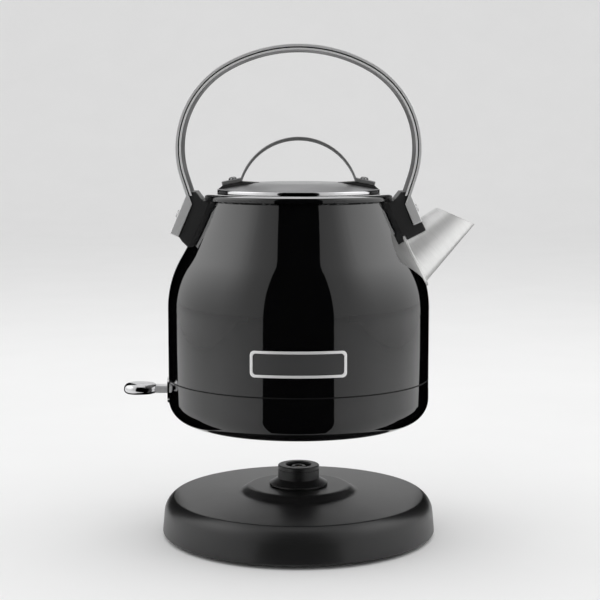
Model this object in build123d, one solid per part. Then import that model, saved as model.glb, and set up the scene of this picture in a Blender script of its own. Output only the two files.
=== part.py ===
from build123d import *
import os
from math import atan2, cos, degrees, hypot, radians, sin, tan

# Electric kettle lifted off its power base. Millimetres, +Z up.
# The origin is on the axis, on the table under the base.
# Kettle pieces are drawn from the kettle's own underside (Z = 0) and lifted at the end.
# The photographed front is the -Y side: spout to +X, switch lever to -X.

# Clearances, and the rounded share of a domed end
WELD = 0.05
HOLE_CLEAR = 0.1
PIN_CLEAR = 0.05
GUIDE_CLEAR = 0.07
MOVE_CLEAR = 0.35
DOME_SHARE = 0.9
FAR = 400.0

# Main sizes, from which the rest is measured
BODY_R = 80.0
SEAM_Z = 28.0
SHOULDER_RISE = 42.6
NECK_RISE = 70.0
LIFT = 44.6
SHOULDER_Z = SEAM_Z + SHOULDER_RISE
COLLAR_Z = SHOULDER_Z + NECK_RISE

# Power base
FOOT_H = 2.0
FOOT_R = 7.0
FOOT_SINK = 1.0
FOOT_INSET = 22.3
FOOT_COUNT = 4
FOOT_START_DEG = 45.0
BASE_OVERHANG = 4.3
BASE_DRAFT = 1.2
BASE_EDGE_R = 9.0
BASE_RIM_R = 1.2
CREASE_EDGE_R = 2.0
BASE_WALL = 2.2
BASE_PLATE_T = 2.5
CREASE_INSET = 6.8
CREASE_Z = 24.0
PLATEAU_FOOT_R = 36.0
PLATEAU_FOOT_Z = 26.3
PLATEAU_R = 31.0
PLATEAU_Z = 30.0
PLATEAU_EDGE_R = 5.0
PILLAR_R = 4.0
PILLAR_INSET = 30.3
PILLAR_COUNT = 3
PILLAR_START_DEG = 90.0
BASE_SCREW_R = 1.5
BASE_SCREW_L = 12.0
BASE_SCREW_HEAD_R = 3.0
BASE_SCREW_HEAD_H = 1.4
BASE_R = BODY_R + BASE_OVERHANG
CREASE_R = BASE_R - CREASE_INSET
FOOT_PITCH_R = BASE_R - FOOT_INSET
PILLAR_PITCH_R = BASE_R - PILLAR_INSET

# Connector boss on the base
BOSS_FLANGE_R = 18.0
BOSS_FLANGE_T = 0.9
BOSS_NECK_H = 0.7
BOSS_NECK_IN = 1.6
BOSS_R = 12.8
BOSS_CONE_H = 2.9
BOSS_H = 12.7
BOSS_CAP_H = 2.2
BOSS_GROOVE_H = 0.7
BOSS_GROOVE_T = 0.7
BOSS_EDGE_R = 0.8
BOSS_BORE_R = 7.7
BOSS_FLOOR_T = 3.0
BOSS_SPIGOT_R = 13.6
BOSS_SPIGOT_H = 5.0
POST_R = 4.4
POST_DROP = 0.8
POST_EDGE_R = 0.6
POST_CUP_R = 2.6
POST_CUP_DEPTH = 1.5
CONTACT_PIN_R = 1.5
CONTACT_PIN_DROP = 0.5
CONTACT_PIN_TAIL = 10.0
CONTACT_RING_T = 0.7
CONTACT_RING_H = 2.4
CONTACT_RING_GAP = 1.0
CONTACT_RING_COUNT = 2
TAB_W = 6.3
TAB_T = 0.8
TAB_H = 6.0
TAB_PITCH_R = 9.0
TAB_COUNT = 3
TAB_START_DEG = 30.0

# Cord inlet at the back of the base
GLAND_Z = 10.0
GLAND_R = 4.9
GLAND_BORE_R = 3.4
GLAND_FLANGE_R = 6.2
GLAND_FLANGE_T = 1.5
GLAND_INNER_L = 4.0

# Kettle body
SHELL_T = 1.2
UNDERSIDE_Z = 0.8
BOTTOM_FILLET = 14.5
BOTTOM_LIP_INSET = 22.0
SEAM_GAP = 0.8
GASKET_T = 2.3
GASKET_LAP = 1.4
GASKET_INSET = 0.6
SHOULDER_R = 62.0
SHOULDER_SLOPE = 30.0
NECK_INSET = 25.8
BOTTOM_LIP_R = BODY_R - BOTTOM_LIP_INSET
NECK_R = BODY_R - NECK_INSET

# Polished collar at the mouth
COLLAR_LAP = 2.8
COLLAR_DROP = 3.9
COLLAR_T = 1.4
COLLAR_EDGE_R = 2.6
MOUTH_INSET = 7.7
MOUTH_DEPTH = 12.0
COLLAR_R = NECK_R + COLLAR_LAP
MOUTH_R = NECK_R - MOUTH_INSET

# Spout
SPOUT_OVERHANG = 16.4
SPOUT_DROP = 14.3
SPOUT_R = 11.55
SPOUT_TILT = 41.65
SPOUT_TAPER = 8.65
SPOUT_LIP_TILT = 23.75
SPOUT_WALL = 1.0
SPOUT_FLANGE_W = 2.2
SPOUT_FLANGE_T = 0.9
SPOUT_BACK = 62.0
SPOUT_FRONT = 24.0
FILTER_LAP = 3.5
FILTER_T = 1.6
FILTER_TUBE_T = 1.2
FILTER_REACH = 4.0
MESH_T = 0.8
MESH_HOLE_R = 1.0
MESH_PITCH = 1.5
MESH_ROWS = 13
MESH_EDGE = 2.2
SPOUT_X = BODY_R + SPOUT_OVERHANG
SPOUT_Z = COLLAR_Z - SPOUT_DROP

# Loop handle
HANDLE_INSET = 6.3
HANDLE_FOOT_DROP = 1.1
HANDLE_RISE = 90.0
HANDLE_WIDE_RISE = 28.0
HANDLE_CROWN_EXTRA = 16.3
HANDLE_LEAN = 18.0
HANDLE_W = 30.0
HANDLE_EDGE_R = 0.4
BAND_T = 1.7
CORE_T = 0.7
CORE_INSET = 0.8
LINER_T = 1.25
LEG_SPLAY = 23.0
LEG_T = 5.5
LEG_NOTCH = 3.4
LEFT_LEG_L = 24.6
RIGHT_LEG_L = 16.9
HANDLE_HALF = BODY_R - HANDLE_INSET
HANDLE_FOOT_Z = COLLAR_Z - HANDLE_FOOT_DROP
HANDLE_WIDE_Z = HANDLE_FOOT_Z + HANDLE_WIDE_RISE
HANDLE_CROWN_R = HANDLE_HALF + HANDLE_CROWN_EXTRA

# Bracket blocks
BRACKET_W = 26.0
BRACKET_TOP_RUN = 4.5
BRACKET_TOP_RISE = 1.1
BRACKET_FOOT_RUN = 2.0
BRACKET_FOOT_DROP = 2.9
BRACKET_BEVEL = 0.5
TOE_RUN = 2.7
TOE_DROP = 5.5
TOE_ROOT_RUN = 9.4
TOE_ROOT_DROP = 5.5
STUD_R = 1.6
STUD_SHORT = 1.5
STUD_DROP = 12.6
STUD_PITCH = 6.0
LEG_SCREW_R = 1.5
LEG_SCREW_L = 10.0
LEG_SCREW_HEAD_R = 2.6
LEG_SCREW_HEAD_H = 1.2
LEG_SCREW_PITCH = 14.0
STUD_Z = COLLAR_Z - STUD_DROP
BRACKET_TOP_Z = COLLAR_Z + BRACKET_TOP_RISE

# Cross recess in the heads of the screws
CROSS_W = 0.7
CROSS_L = 2.8
CROSS_DEPTH = 0.7

# Badge
BADGE_RISE = 19.3
BADGE_W = 55.0
BADGE_H = 15.4
BADGE_LINE = 1.75
BADGE_CORNER_R = 2.7
BADGE_FRAME_T = 1.0
BADGE_EDGE_R = 0.4
BADGE_PLATE_T = 0.5
BADGE_DEPTH = 20.0
BADGE_Z = SEAM_Z + BADGE_RISE

# Lid
LID_INSET = 7.4
LID_EDGE_H = 2.0
LID_T = 1.4
LID_CONE_W = 22.6
LID_RISE = 6.4
LID_EDGE_R = 0.8
PLUG_CLEAR = 1.1
PLUG_T = 1.5
PLUG_DEPTH = 9.0
SEAL_H = 3.0
SEAL_GROOVE = 0.7
SEAL_PROUD = 0.7
SEAL_DROP = 5.0
STRAP_W = 14.0
STRAP_T = 2.3
STRAP_EDGE_R = 0.4
STRAP_RISE = 27.6
STRAP_FOOT_INSET = 15.2
STRAP_END_INSET = 3.6
STRAP_SLOPE = 12.0
PAD_T = 2.0
PAD_W = 15.0
PAD_LAP = 3.0
PAD_OUT_INSET = 1.2
LID_SCREW_INSET = 9.6
LID_SCREW_R = 1.5
LID_SCREW_L = 8.0
LID_SCREW_HEAD_R = 2.5
LID_SCREW_HEAD_H = 1.6
LID_NUT_R = 3.0
LID_NUT_T = 2.2
LID_R = COLLAR_R - LID_INSET
LID_FLAT_R = LID_R - LID_CONE_W
LID_FLAT_Z = COLLAR_Z + LID_RISE
PLUG_R = MOUTH_R - PLUG_CLEAR
STRAP_TOP_Z = LID_FLAT_Z + STRAP_RISE
STRAP_FOOT_R = LID_R - STRAP_FOOT_INSET
STRAP_END_R = LID_R - STRAP_END_INSET
PAD_IN_R = LID_FLAT_R - PAD_LAP
PAD_OUT_R = LID_R - PAD_OUT_INSET
LID_SCREW_AT_R = LID_R - LID_SCREW_INSET

# Heating and control under the vessel floor
FLOOR_RISE = 1.5
FLOOR_T = 1.2
SPREADER_INSET = 29.5
SPREADER_T = 3.0
ELEMENT_INSET = 7.5
ELEMENT_TUBE_R = 3.4
ELEMENT_GAP_DEG = 50.0
ELEMENT_PIN_R = 1.2
ELEMENT_PIN_L = 7.0
DISC_R = 8.0
DISC_T = 0.6
DISC_AT = 21.0
COVER_T = 2.0
FOOT_RING_INSET = 26.0
FOOT_RING_T = 3.6
RECESS_R = 38.0
RECESS_Z = 7.0
COVER_MOUTH_R = 20.5
HOUSING_R = 34.0
SOCKET_R = 17.0
SOCKET_BORE_R = 13.4
SOCKET_FLANGE_R = 19.2
SOCKET_FLANGE_T = 2.0
SOCKET_ROOF_T = 2.6
SOCKET_TUBE_R = 6.4
SOCKET_TUBE_BORE_R = 5.0
SOCKET_TUBE_L = 7.5
SOCKET_LIP_Z = 9.8
CONTROL_SCREW_R = 1.4
CONTROL_SCREW_HEAD_R = 2.6
CONTROL_SCREW_HEAD_H = 1.2
CONTROL_SCREW_L = 6.0
CONTROL_PITCH_R = 27.0
CONTROL_SCREW_COUNT = 3
FLOOR_Z = SEAM_Z + FLOOR_RISE
SPREADER_R = BODY_R - SPREADER_INSET
ELEMENT_R = SPREADER_R - ELEMENT_INSET
FOOT_RING_IN_R = BODY_R - FOOT_RING_INSET

# Steam tube
TUBE_INSET = 32.0
TUBE_R = 4.0
TUBE_T = 0.6
TUBE_TAIL = 9.5
TUBE_DROP = 16.6
TUBE_X = BODY_R - TUBE_INSET
TUBE_FOOT_Z = FLOOR_Z - TUBE_TAIL
TUBE_TOP_Z = COLLAR_Z - TUBE_DROP

# Switch lever
LEVER_DROP = 8.0
LEVER_DEPTH = 12.0
LEVER_NECK = 7.8
LEVER_TRAVEL = 12.0
PADDLE_L = 20.0
PADDLE_W = 18.0
PADDLE_T = 5.6
PADDLE_EDGE_R = 2.3
STEM_W = 8.0
STEM_T = 4.2
HUB_R = 3.6
LEVER_PIN_R = 1.5
PLUNGER_ARM = 9.5
ARM_PAST = 2.0
ARM_T = 2.4
ARM_W = 6.0
CHEEK_T = 2.2
CARRIER_INSET = 26.0
GUIDE_RISE = 4.0
GUIDE_T = 1.6
PLUNGER_R = 1.8
PLUNGER_PROUD = 0.8
BEZEL_W = 20.0
BEZEL_H = 14.4
BEZEL_T = 0.8
BEZEL_CORNER_R = 3.0
BEZEL_DROP = 0.6
LEVER_Z = SEAM_Z - LEVER_DROP
LEVER_PIVOT_X = BODY_R - LEVER_DEPTH
LEVER_REACH = BODY_R + LEVER_NECK + PADDLE_L
PLUNGER_X = LEVER_PIVOT_X - PLUNGER_ARM
ARM_L = PLUNGER_ARM + ARM_PAST
CARRIER_IN_X = BODY_R - CARRIER_INSET
GUIDE_Z = LEVER_Z + GUIDE_RISE
PLUNGER_TOP_Z = GUIDE_Z + GUIDE_T + PLUNGER_PROUD


def flat(*points):
    """Closed straight-sided outline in (radius, height)."""
    return make_face(Polyline(*points, close=True))


def turned(face):
    """Outline in (radius, height) turned about the kettle's axis."""
    return revolve(Plane.XZ * face, Axis.Z)


def slab(face, width):
    """Outline in (x, height) made a slab of the given width across Y."""
    return extrude(Plane.XZ * face, amount=width / 2, both=True)


def rod(radius, length, x=0.0, y=0.0, z=0.0):
    """Upright round bar standing on (x, y, z)."""
    upright = (Align.CENTER, Align.CENTER, Align.MIN)
    return Pos(x, y, z) * Cylinder(radius, length, align=upright)


def tube(outer, inner, length, z=0.0):
    """Upright tube about the axis, standing on z."""
    return rod(outer, length, z=z) - rod(inner, length, z=z)


def around(count, radius, start=0.0):
    """Places evenly spaced on a circle."""
    return PolarLocations(radius, count, start_angle=start)


def mirrored(piece):
    """The same piece on the other side of the YZ plane."""
    return mirror(piece, Plane.YZ)


def block(x_low, x_high, width, z_low, z_high):
    """Plain block used to cut or to trim."""
    size = (x_high - x_low, width, z_high - z_low)
    middle = ((x_low + x_high) / 2, 0, (z_low + z_high) / 2)
    return Pos(*middle) * Box(*size)


def cross_recess(z):
    """Cross-shaped cutter for the face of a screw head at a height."""
    depth = 2 * CROSS_DEPTH
    return Pos(0, 0, z) * (Box(CROSS_L, CROSS_W, depth) + Box(CROSS_W, CROSS_L, depth))


def eased(strip, width, radius, below=FAR):
    """Strip with its long edges rounded, up to a height."""
    rims = strip.edges().filter_by(lambda edge: abs(abs(edge.center().Y) - width / 2) < WELD)
    return fillet(rims.filter_by(lambda edge: edge.center().Z < below), radius)


def whole(*solids):
    """Separate solids kept together as one group."""
    return Compound(children=list(solids))


# Power base

def dome_z(radius):
    """Height of the base's sloping top at a radius."""
    share = (CREASE_R - radius) / (CREASE_R - PLATEAU_FOOT_R)
    return CREASE_Z + share * (PLATEAU_FOOT_Z - CREASE_Z)


SEATED_Z = dome_z(FOOT_RING_IN_R) + MOVE_CLEAR
KETTLE_Z = SEATED_Z + LIFT


def base_region(shrink):
    """Outline under the base's outer skin, drawn in by shrink."""
    skirt_top = CREASE_Z - BASE_EDGE_R
    skirt_r = BASE_R - BASE_DRAFT
    bottom = FOOT_H if shrink == 0 else FOOT_H - FOOT_SINK
    low = (BASE_R - shrink, bottom)
    bend = (skirt_r - shrink, skirt_top)
    crease = (CREASE_R - shrink, CREASE_Z - shrink)
    foot = (PLATEAU_FOOT_R - shrink, PLATEAU_FOOT_Z - shrink)
    ledge = (PLATEAU_R - shrink, PLATEAU_Z - shrink)
    rise = (bend[0] - low[0], bend[1] - low[1])
    edges = [
        Line((0, bottom), low),
        Line(low, bend),
        TangentArc(bend, crease, tangent=rise),
        Polyline(crease, foot, ledge, (0, PLATEAU_Z - shrink), (0, bottom)),
    ]
    region = make_face(edges)
    roundings = ((low, BASE_RIM_R), (crease, CREASE_EDGE_R), (foot, PLATEAU_EDGE_R), (ledge, PLATEAU_EDGE_R))
    for (x, z), radius in roundings:
        corner = region.vertices().sort_by_distance(Vector(x, z, 0))[0]
        region = fillet(corner, radius)
    return region


def make_base():
    """Cover, floor plate, feet and screws of the base."""
    inside = turned(base_region(BASE_WALL))
    plate_top = FOOT_H + BASE_PLATE_T
    pillar_spots = around(PILLAR_COUNT, PILLAR_PITCH_R, PILLAR_START_DEG)
    pillars = [spot * rod(PILLAR_R, PLATEAU_Z - plate_top, z=plate_top) for spot in pillar_spots]
    screw_bores = [
        spot * rod(BASE_SCREW_R + HOLE_CLEAR, BASE_SCREW_L + HOLE_CLEAR, z=FOOT_H)
        for spot in pillar_spots
    ]
    cover = turned(base_region(0)) - inside
    cover += [pillar & turned(base_region(BASE_WALL / 2)) for pillar in pillars]
    cover -= rod(BOSS_SPIGOT_R + HOLE_CLEAR, PLATEAU_Z)
    cover -= screw_bores
    wall_l = 2 * (BASE_WALL + BASE_DRAFT + GLAND_INNER_L)
    cover -= Pos(0, BASE_R, GLAND_Z) * Rot(X=90) * Cylinder(GLAND_R + HOLE_CLEAR, wall_l)

    plate_r = BASE_R - BASE_WALL - BASE_DRAFT
    plate = rod(plate_r - HOLE_CLEAR, BASE_PLATE_T, z=FOOT_H)
    plate -= [
        spot * rod(FOOT_R + HOLE_CLEAR, FOOT_SINK, z=FOOT_H)
        for spot in around(FOOT_COUNT, FOOT_PITCH_R, FOOT_START_DEG)
    ]
    plate -= screw_bores
    plate -= [
        spot * rod(BASE_SCREW_HEAD_R + HOLE_CLEAR, BASE_SCREW_HEAD_H, z=FOOT_H)
        for spot in pillar_spots
    ]
    foot = rod(FOOT_R, FOOT_H + FOOT_SINK)
    foot = fillet(foot.edges().sort_by(Axis.Z)[0], FOOT_SINK / 2)
    feet = whole(*[spot * foot for spot in around(FOOT_COUNT, FOOT_PITCH_R, FOOT_START_DEG)])
    screw = rod(BASE_SCREW_HEAD_R, BASE_SCREW_HEAD_H, z=FOOT_H)
    screw += rod(BASE_SCREW_R, BASE_SCREW_L, z=FOOT_H)
    screw -= cross_recess(FOOT_H)
    screws = whole(*[spot * screw for spot in pillar_spots])

    skin = BASE_R - BASE_WALL - GLAND_INNER_L
    gland = Pos(0, skin, GLAND_Z) * Rot(X=-90) * (
        rod(GLAND_R, BASE_R - skin + GLAND_FLANGE_T)
        + rod(GLAND_FLANGE_R, GLAND_FLANGE_T, z=BASE_R - skin)
        - rod(GLAND_BORE_R, FAR)
    )
    return {
        "base_cover": cover,
        "base_plate": plate,
        "base_feet": feet,
        "base_screws": screws,
        "cord_gland": gland,
    }


def make_boss():
    """Connector boss with its centre post, contact rings and terminals."""
    top = PLATEAU_Z + BOSS_H
    groove_top = top - BOSS_CAP_H
    flange_z = PLATEAU_Z + BOSS_NECK_H
    bore_floor = PLATEAU_Z + BOSS_FLOOR_T
    spigot_low = PLATEAU_Z - BOSS_SPIGOT_H
    rim = [
        (0, spigot_low),
        (BOSS_SPIGOT_R, spigot_low),
        (BOSS_SPIGOT_R, PLATEAU_Z),
        (BOSS_FLANGE_R - BOSS_NECK_IN, PLATEAU_Z),
        (BOSS_FLANGE_R - BOSS_NECK_IN, flange_z),
        (BOSS_FLANGE_R, flange_z),
        (BOSS_FLANGE_R, flange_z + BOSS_FLANGE_T),
        (BOSS_R, flange_z + BOSS_FLANGE_T + BOSS_CONE_H),
        (BOSS_R, groove_top - BOSS_GROOVE_H),
        (BOSS_R - BOSS_GROOVE_T, groove_top - BOSS_GROOVE_H),
        (BOSS_R - BOSS_GROOVE_T, groove_top),
        (BOSS_R, groove_top),
        (BOSS_R, top),
        (BOSS_BORE_R, top),
        (BOSS_BORE_R, bore_floor),
        (0, bore_floor),
    ]
    boss = turned(flat(*rim))
    rims = boss.edges().filter_by(GeomType.CIRCLE).group_by(Axis.Z)[-1]
    boss = fillet(rims, BOSS_EDGE_R)
    pin_way = rod(CONTACT_PIN_R + HOLE_CLEAR, FAR)
    boss -= pin_way
    post_top = top - POST_DROP
    post = rod(POST_R, post_top - bore_floor, z=bore_floor)
    post = fillet(post.edges().sort_by(Axis.Z)[-1], POST_EDGE_R)
    post -= pin_way + rod(POST_CUP_R, FAR, z=post_top - POST_CUP_DEPTH)
    pin_low = bore_floor - CONTACT_PIN_TAIL
    pin = rod(CONTACT_PIN_R, post_top - CONTACT_PIN_DROP - pin_low, z=pin_low)
    pin = fillet(pin.edges().sort_by(Axis.Z)[-1], CONTACT_PIN_R * DOME_SHARE)
    ring_r = BOSS_BORE_R - WELD
    step = CONTACT_RING_H + CONTACT_RING_GAP
    rings = whole(*[
        tube(ring_r, ring_r - CONTACT_RING_T, CONTACT_RING_H, bore_floor + k * step)
        for k in range(CONTACT_RING_COUNT)
    ])
    tab = Pos(0, 0, spigot_low - TAB_H / 2) * Box(TAB_T, TAB_W, TAB_H)
    tabs = whole(*[spot * tab for spot in around(TAB_COUNT, TAB_PITCH_R, TAB_START_DEG)])
    return {
        "base_boss": boss,
        "boss_post": post,
        "boss_contact_pin": pin,
        "boss_contact_rings": rings,
        "terminal_tabs": tabs,
    }


# Body of the kettle

NECK_Z = COLLAR_Z - COLLAR_T


def lower_region(grow, top=SEAM_Z - SEAM_GAP / 2):
    """Outline inside the lower shell's outer skin, grown outwards by grow."""
    radius = BOTTOM_FILLET + grow
    centre = (BODY_R - BOTTOM_FILLET, UNDERSIDE_Z + BOTTOM_FILLET)
    low = (centre[0], UNDERSIDE_Z - grow)
    side = (BODY_R + grow, centre[1])
    edges = [
        Line((0, low[1]), low),
        CenterArc(centre, radius, -90, 90),
        Polyline(side, (side[0], top), (0, top), (0, low[1])),
    ]
    return make_face(edges)


def vessel_region(grow, low=SEAM_Z + SEAM_GAP / 2, top=NECK_Z):
    """Outline inside the vessel's outer skin, grown outwards by grow."""
    centre = (BODY_R - SHOULDER_R, SHOULDER_Z)
    radius = SHOULDER_R + grow
    slope = radians(SHOULDER_SLOPE)
    bend = (centre[0] + radius * cos(slope), centre[1] + radius * sin(slope))
    neck = (NECK_R + grow, NECK_Z)
    edges = [
        Line((0, low), (BODY_R + grow, low)),
        Line((BODY_R + grow, low), (BODY_R + grow, SHOULDER_Z)),
        CenterArc(centre, radius, 0, SHOULDER_SLOPE),
        TangentArc(bend, neck, tangent=(-sin(slope), cos(slope))),
    ]
    if top > NECK_Z:
        edges.append(Line(neck, (neck[0], top)))
    edges.append(Polyline((neck[0], top), (0, top), (0, low)))
    return make_face(edges)


BODY = turned(vessel_region(0))


def spout_cone(grow):
    """Solid cone along the spout's axis, grown outwards by grow."""
    lean = radians(SPOUT_TILT)
    frame = Plane((SPOUT_X, 0, SPOUT_Z), z_dir=(cos(lean), 0, sin(lean)))
    spread = tan(radians(SPOUT_TAPER))
    back_r = SPOUT_R + SPOUT_BACK * spread + grow
    front_r = SPOUT_R - SPOUT_FRONT * spread + grow
    length = SPOUT_BACK + SPOUT_FRONT
    upright = (Align.CENTER, Align.CENTER, Align.MIN)
    return frame * Pos(0, 0, -SPOUT_BACK) * Cone(back_r, front_r, length, align=upright)


def make_body():
    """Two shells, the gasket between them and the polished collar."""
    inner = vessel_region(-SHELL_T, low=SEAM_Z, top=NECK_Z + SHELL_T)
    vessel = BODY - turned(inner) - spout_cone(-SPOUT_WALL)
    lower = turned(lower_region(0)) - turned(lower_region(-SHELL_T, top=SEAM_Z))
    lower -= rod(BOTTOM_LIP_R, FAR / 2, z=-SHELL_T)
    lower -= lever_slot()

    gap_low = SEAM_Z - SEAM_GAP / 2
    gap_high = SEAM_Z + SEAM_GAP / 2
    inner_r = BODY_R - SHELL_T - WELD
    gasket = tube(inner_r, inner_r - GASKET_T, FLOOR_Z - gap_low + GASKET_LAP, gap_low - GASKET_LAP)
    gasket += tube(BODY_R - GASKET_INSET, inner_r - GASKET_T / 2, gap_high - gap_low, gap_low)

    skirt_low = COLLAR_Z - COLLAR_DROP
    collar = flat(
        (COLLAR_R, skirt_low),
        (COLLAR_R, COLLAR_Z),
        (MOUTH_R, COLLAR_Z),
        (MOUTH_R, COLLAR_Z - MOUTH_DEPTH),
        (MOUTH_R + COLLAR_T, COLLAR_Z - MOUTH_DEPTH),
        (MOUTH_R + COLLAR_T, NECK_Z),
        (COLLAR_R - COLLAR_T, NECK_Z),
        (COLLAR_R - COLLAR_T, skirt_low),
    )
    collar = turned(collar)
    tops = collar.edges().filter_by(GeomType.CIRCLE).group_by(Axis.Z)[-1].sort_by(SortBy.RADIUS)
    collar = fillet(tops[-1], COLLAR_EDGE_R)
    tops = collar.edges().filter_by(GeomType.CIRCLE).group_by(Axis.Z)[-1].sort_by(SortBy.RADIUS)
    collar = fillet(tops[0], COLLAR_T / 2)
    return {
        "vessel_shell": vessel,
        "lower_shell": lower,
        "seam_gasket": gasket,
        "neck_ring": collar,
    }


def make_spout():
    """Spout cone with its root flange, and the filter behind it."""
    bore = spout_cone(-SPOUT_WALL)
    fall = radians(SPOUT_LIP_TILT)
    lip_frame = Plane((SPOUT_X, 0, SPOUT_Z), z_dir=(sin(fall), 0, cos(fall)))
    beyond = lip_frame * Pos(0, 0, FAR / 2) * Box(FAR, FAR, FAR)
    flange = spout_cone(SPOUT_FLANGE_W) & (turned(vessel_region(SPOUT_FLANGE_T)) - BODY)
    spout = spout_cone(0) - beyond - BODY + flange - bore

    seat = -SHELL_T - MOVE_CLEAR
    behind = turned(vessel_region(seat - FILTER_T))
    tube_out = spout_cone(-SPOUT_WALL - MOVE_CLEAR)
    tube_in = spout_cone(-SPOUT_WALL - MOVE_CLEAR - FILTER_TUBE_T)
    frame = spout_cone(FILTER_LAP) & (turned(vessel_region(seat)) - behind)
    frame += tube_out & (turned(vessel_region(FILTER_REACH)) - behind)
    frame -= tube_in

    lean = radians(SPOUT_TILT)
    wall_r = BODY_R - SHOULDER_R + SHOULDER_R * cos(radians(SHOULDER_SLOPE))
    back = (SPOUT_X - wall_r) / cos(lean)
    narrow = SPOUT_WALL + MOVE_CLEAR + FILTER_TUBE_T + WELD
    mesh_r = SPOUT_R + (back - MESH_T) * tan(radians(SPOUT_TAPER)) - narrow
    place = Plane((SPOUT_X, 0, SPOUT_Z), z_dir=(cos(lean), 0, sin(lean))) * Pos(0, 0, -back)
    spots = HexLocations(MESH_PITCH, MESH_ROWS, MESH_ROWS)
    open_r = mesh_r - MESH_EDGE
    kept = [spot for spot in spots if hypot(spot.position.X, spot.position.Y) < open_r]
    disc = extrude(Circle(mesh_r) - [spot * Circle(MESH_HOLE_R) for spot in kept], MESH_T)
    return {
        "spout": spout,
        "filter_frame": frame,
        "filter_mesh": place * disc,
    }


# Loop handle and its brackets

CROWN_Z = HANDLE_FOOT_Z + HANDLE_RISE - HANDLE_CROWN_R
SIDE_DROP = HANDLE_WIDE_Z - CROWN_Z
SIDE_SPAN = (HANDLE_CROWN_EXTRA ** 2 + SIDE_DROP ** 2) / (2 * HANDLE_CROWN_EXTRA)
SIDE_R = HANDLE_CROWN_R - SIDE_SPAN
SIDE_X = HANDLE_HALF - SIDE_R
CROWN_DEG = degrees(atan2(SIDE_X, SIDE_DROP))
LEAN = radians(HANDLE_LEAN)
HANDLE_FOOT_X = SIDE_X + SIDE_R / cos(LEAN) - HANDLE_WIDE_RISE * tan(LEAN)


def leg_line_x(depth, z):
    """Distance from the axis of the loop's straight foot, depth inside its outer face."""
    return HANDLE_FOOT_X - depth / cos(LEAN) + (z - HANDLE_FOOT_Z) * tan(LEAN)


def loop_edges(depth):
    """The loop's outline from foot to foot, drawn in by depth."""
    radius = SIDE_R - depth
    bend = (SIDE_X + radius * cos(LEAN), HANDLE_WIDE_Z - radius * sin(LEAN))
    foot = (leg_line_x(depth, HANDLE_FOOT_Z), HANDLE_FOOT_Z)
    turn = 90 - CROWN_DEG + HANDLE_LEAN
    return [
        Line(foot, bend),
        CenterArc((SIDE_X, HANDLE_WIDE_Z), radius, -HANDLE_LEAN, turn),
        CenterArc((0, CROWN_Z), HANDLE_CROWN_R - depth, 90 - CROWN_DEG, 2 * CROWN_DEG),
        CenterArc((-SIDE_X, HANDLE_WIDE_Z), radius, 90 + CROWN_DEG, turn),
        Line((-bend[0], bend[1]), (-foot[0], foot[1])),
    ]


def loop_layer(outside, inside, width):
    """One layer of the handle between two depths."""
    outer = loop_edges(outside)
    inner = loop_edges(inside)
    out_x = leg_line_x(outside, HANDLE_FOOT_Z)
    in_x = leg_line_x(inside, HANDLE_FOOT_Z)
    ends = [Line((s * out_x, HANDLE_FOOT_Z), (s * in_x, HANDLE_FOOT_Z)) for s in (1, -1)]
    return slab(make_face(outer + inner + ends), width)


def above_foot(layer):
    """Layer of the loop with its long edges rounded, the flat ends left sharp."""
    rims = layer.edges().filter_by(lambda edge: abs(abs(edge.center().Y) - HANDLE_W / 2) < WELD)
    return fillet(rims.filter_by(lambda edge: edge.center().Z > HANDLE_FOOT_Z + WELD), HANDLE_EDGE_R)


LEG_RUN = (sin(radians(LEG_SPLAY)), -cos(radians(LEG_SPLAY)))
LEG_IN = (-cos(radians(LEG_SPLAY)), -sin(radians(LEG_SPLAY)))
LEG_TOP_IN_X = HANDLE_FOOT_X - LEG_T / cos(radians(LEG_SPLAY))


def leg_point(along, depth):
    """Point on a leg, measured down its outer face and in from it."""
    x = HANDLE_FOOT_X + along * LEG_RUN[0] + depth * LEG_IN[0]
    z = HANDLE_FOOT_Z + along * LEG_RUN[1] + depth * LEG_IN[1]
    return (x, z)


def leg(length):
    """Thick flat leg below the kink on the +X side."""
    outline = flat(
        (HANDLE_FOOT_X, HANDLE_FOOT_Z),
        leg_point(length, 0),
        leg_point(length, LEG_T),
        leg_point(LEG_NOTCH, LEG_T),
        (leg_line_x(BAND_T, HANDLE_FOOT_Z), HANDLE_FOOT_Z),
    )
    return eased(slab(outline, HANDLE_W), HANDLE_W, HANDLE_EDGE_R, HANDLE_FOOT_Z - LEG_NOTCH / 2)


def bracket(*lower_points):
    """Block from the leg to the body on the +X side, with its own lower outline."""
    depth = BAND_T + CORE_T + LINER_T
    under_collar = COLLAR_Z - COLLAR_DROP - MOVE_CLEAR
    outline = flat(
        (COLLAR_R + MOVE_CLEAR, under_collar),
        (COLLAR_R + BRACKET_TOP_RUN, BRACKET_TOP_Z),
        (leg_line_x(depth, BRACKET_TOP_Z), BRACKET_TOP_Z),
        (leg_line_x(depth, HANDLE_FOOT_Z), HANDLE_FOOT_Z),
        (leg_line_x(BAND_T, HANDLE_FOOT_Z), HANDLE_FOOT_Z),
        leg_point(LEG_NOTCH, LEG_T),
        *lower_points,
        (NECK_R / 2, under_collar),
    )
    block_piece = slab(outline, BRACKET_W)
    faces = block_piece.faces().sort_by(Axis.Y)
    rims = faces[0].edges() + faces[-1].edges()
    return chamfer(rims, BRACKET_BEVEL) - BODY


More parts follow.
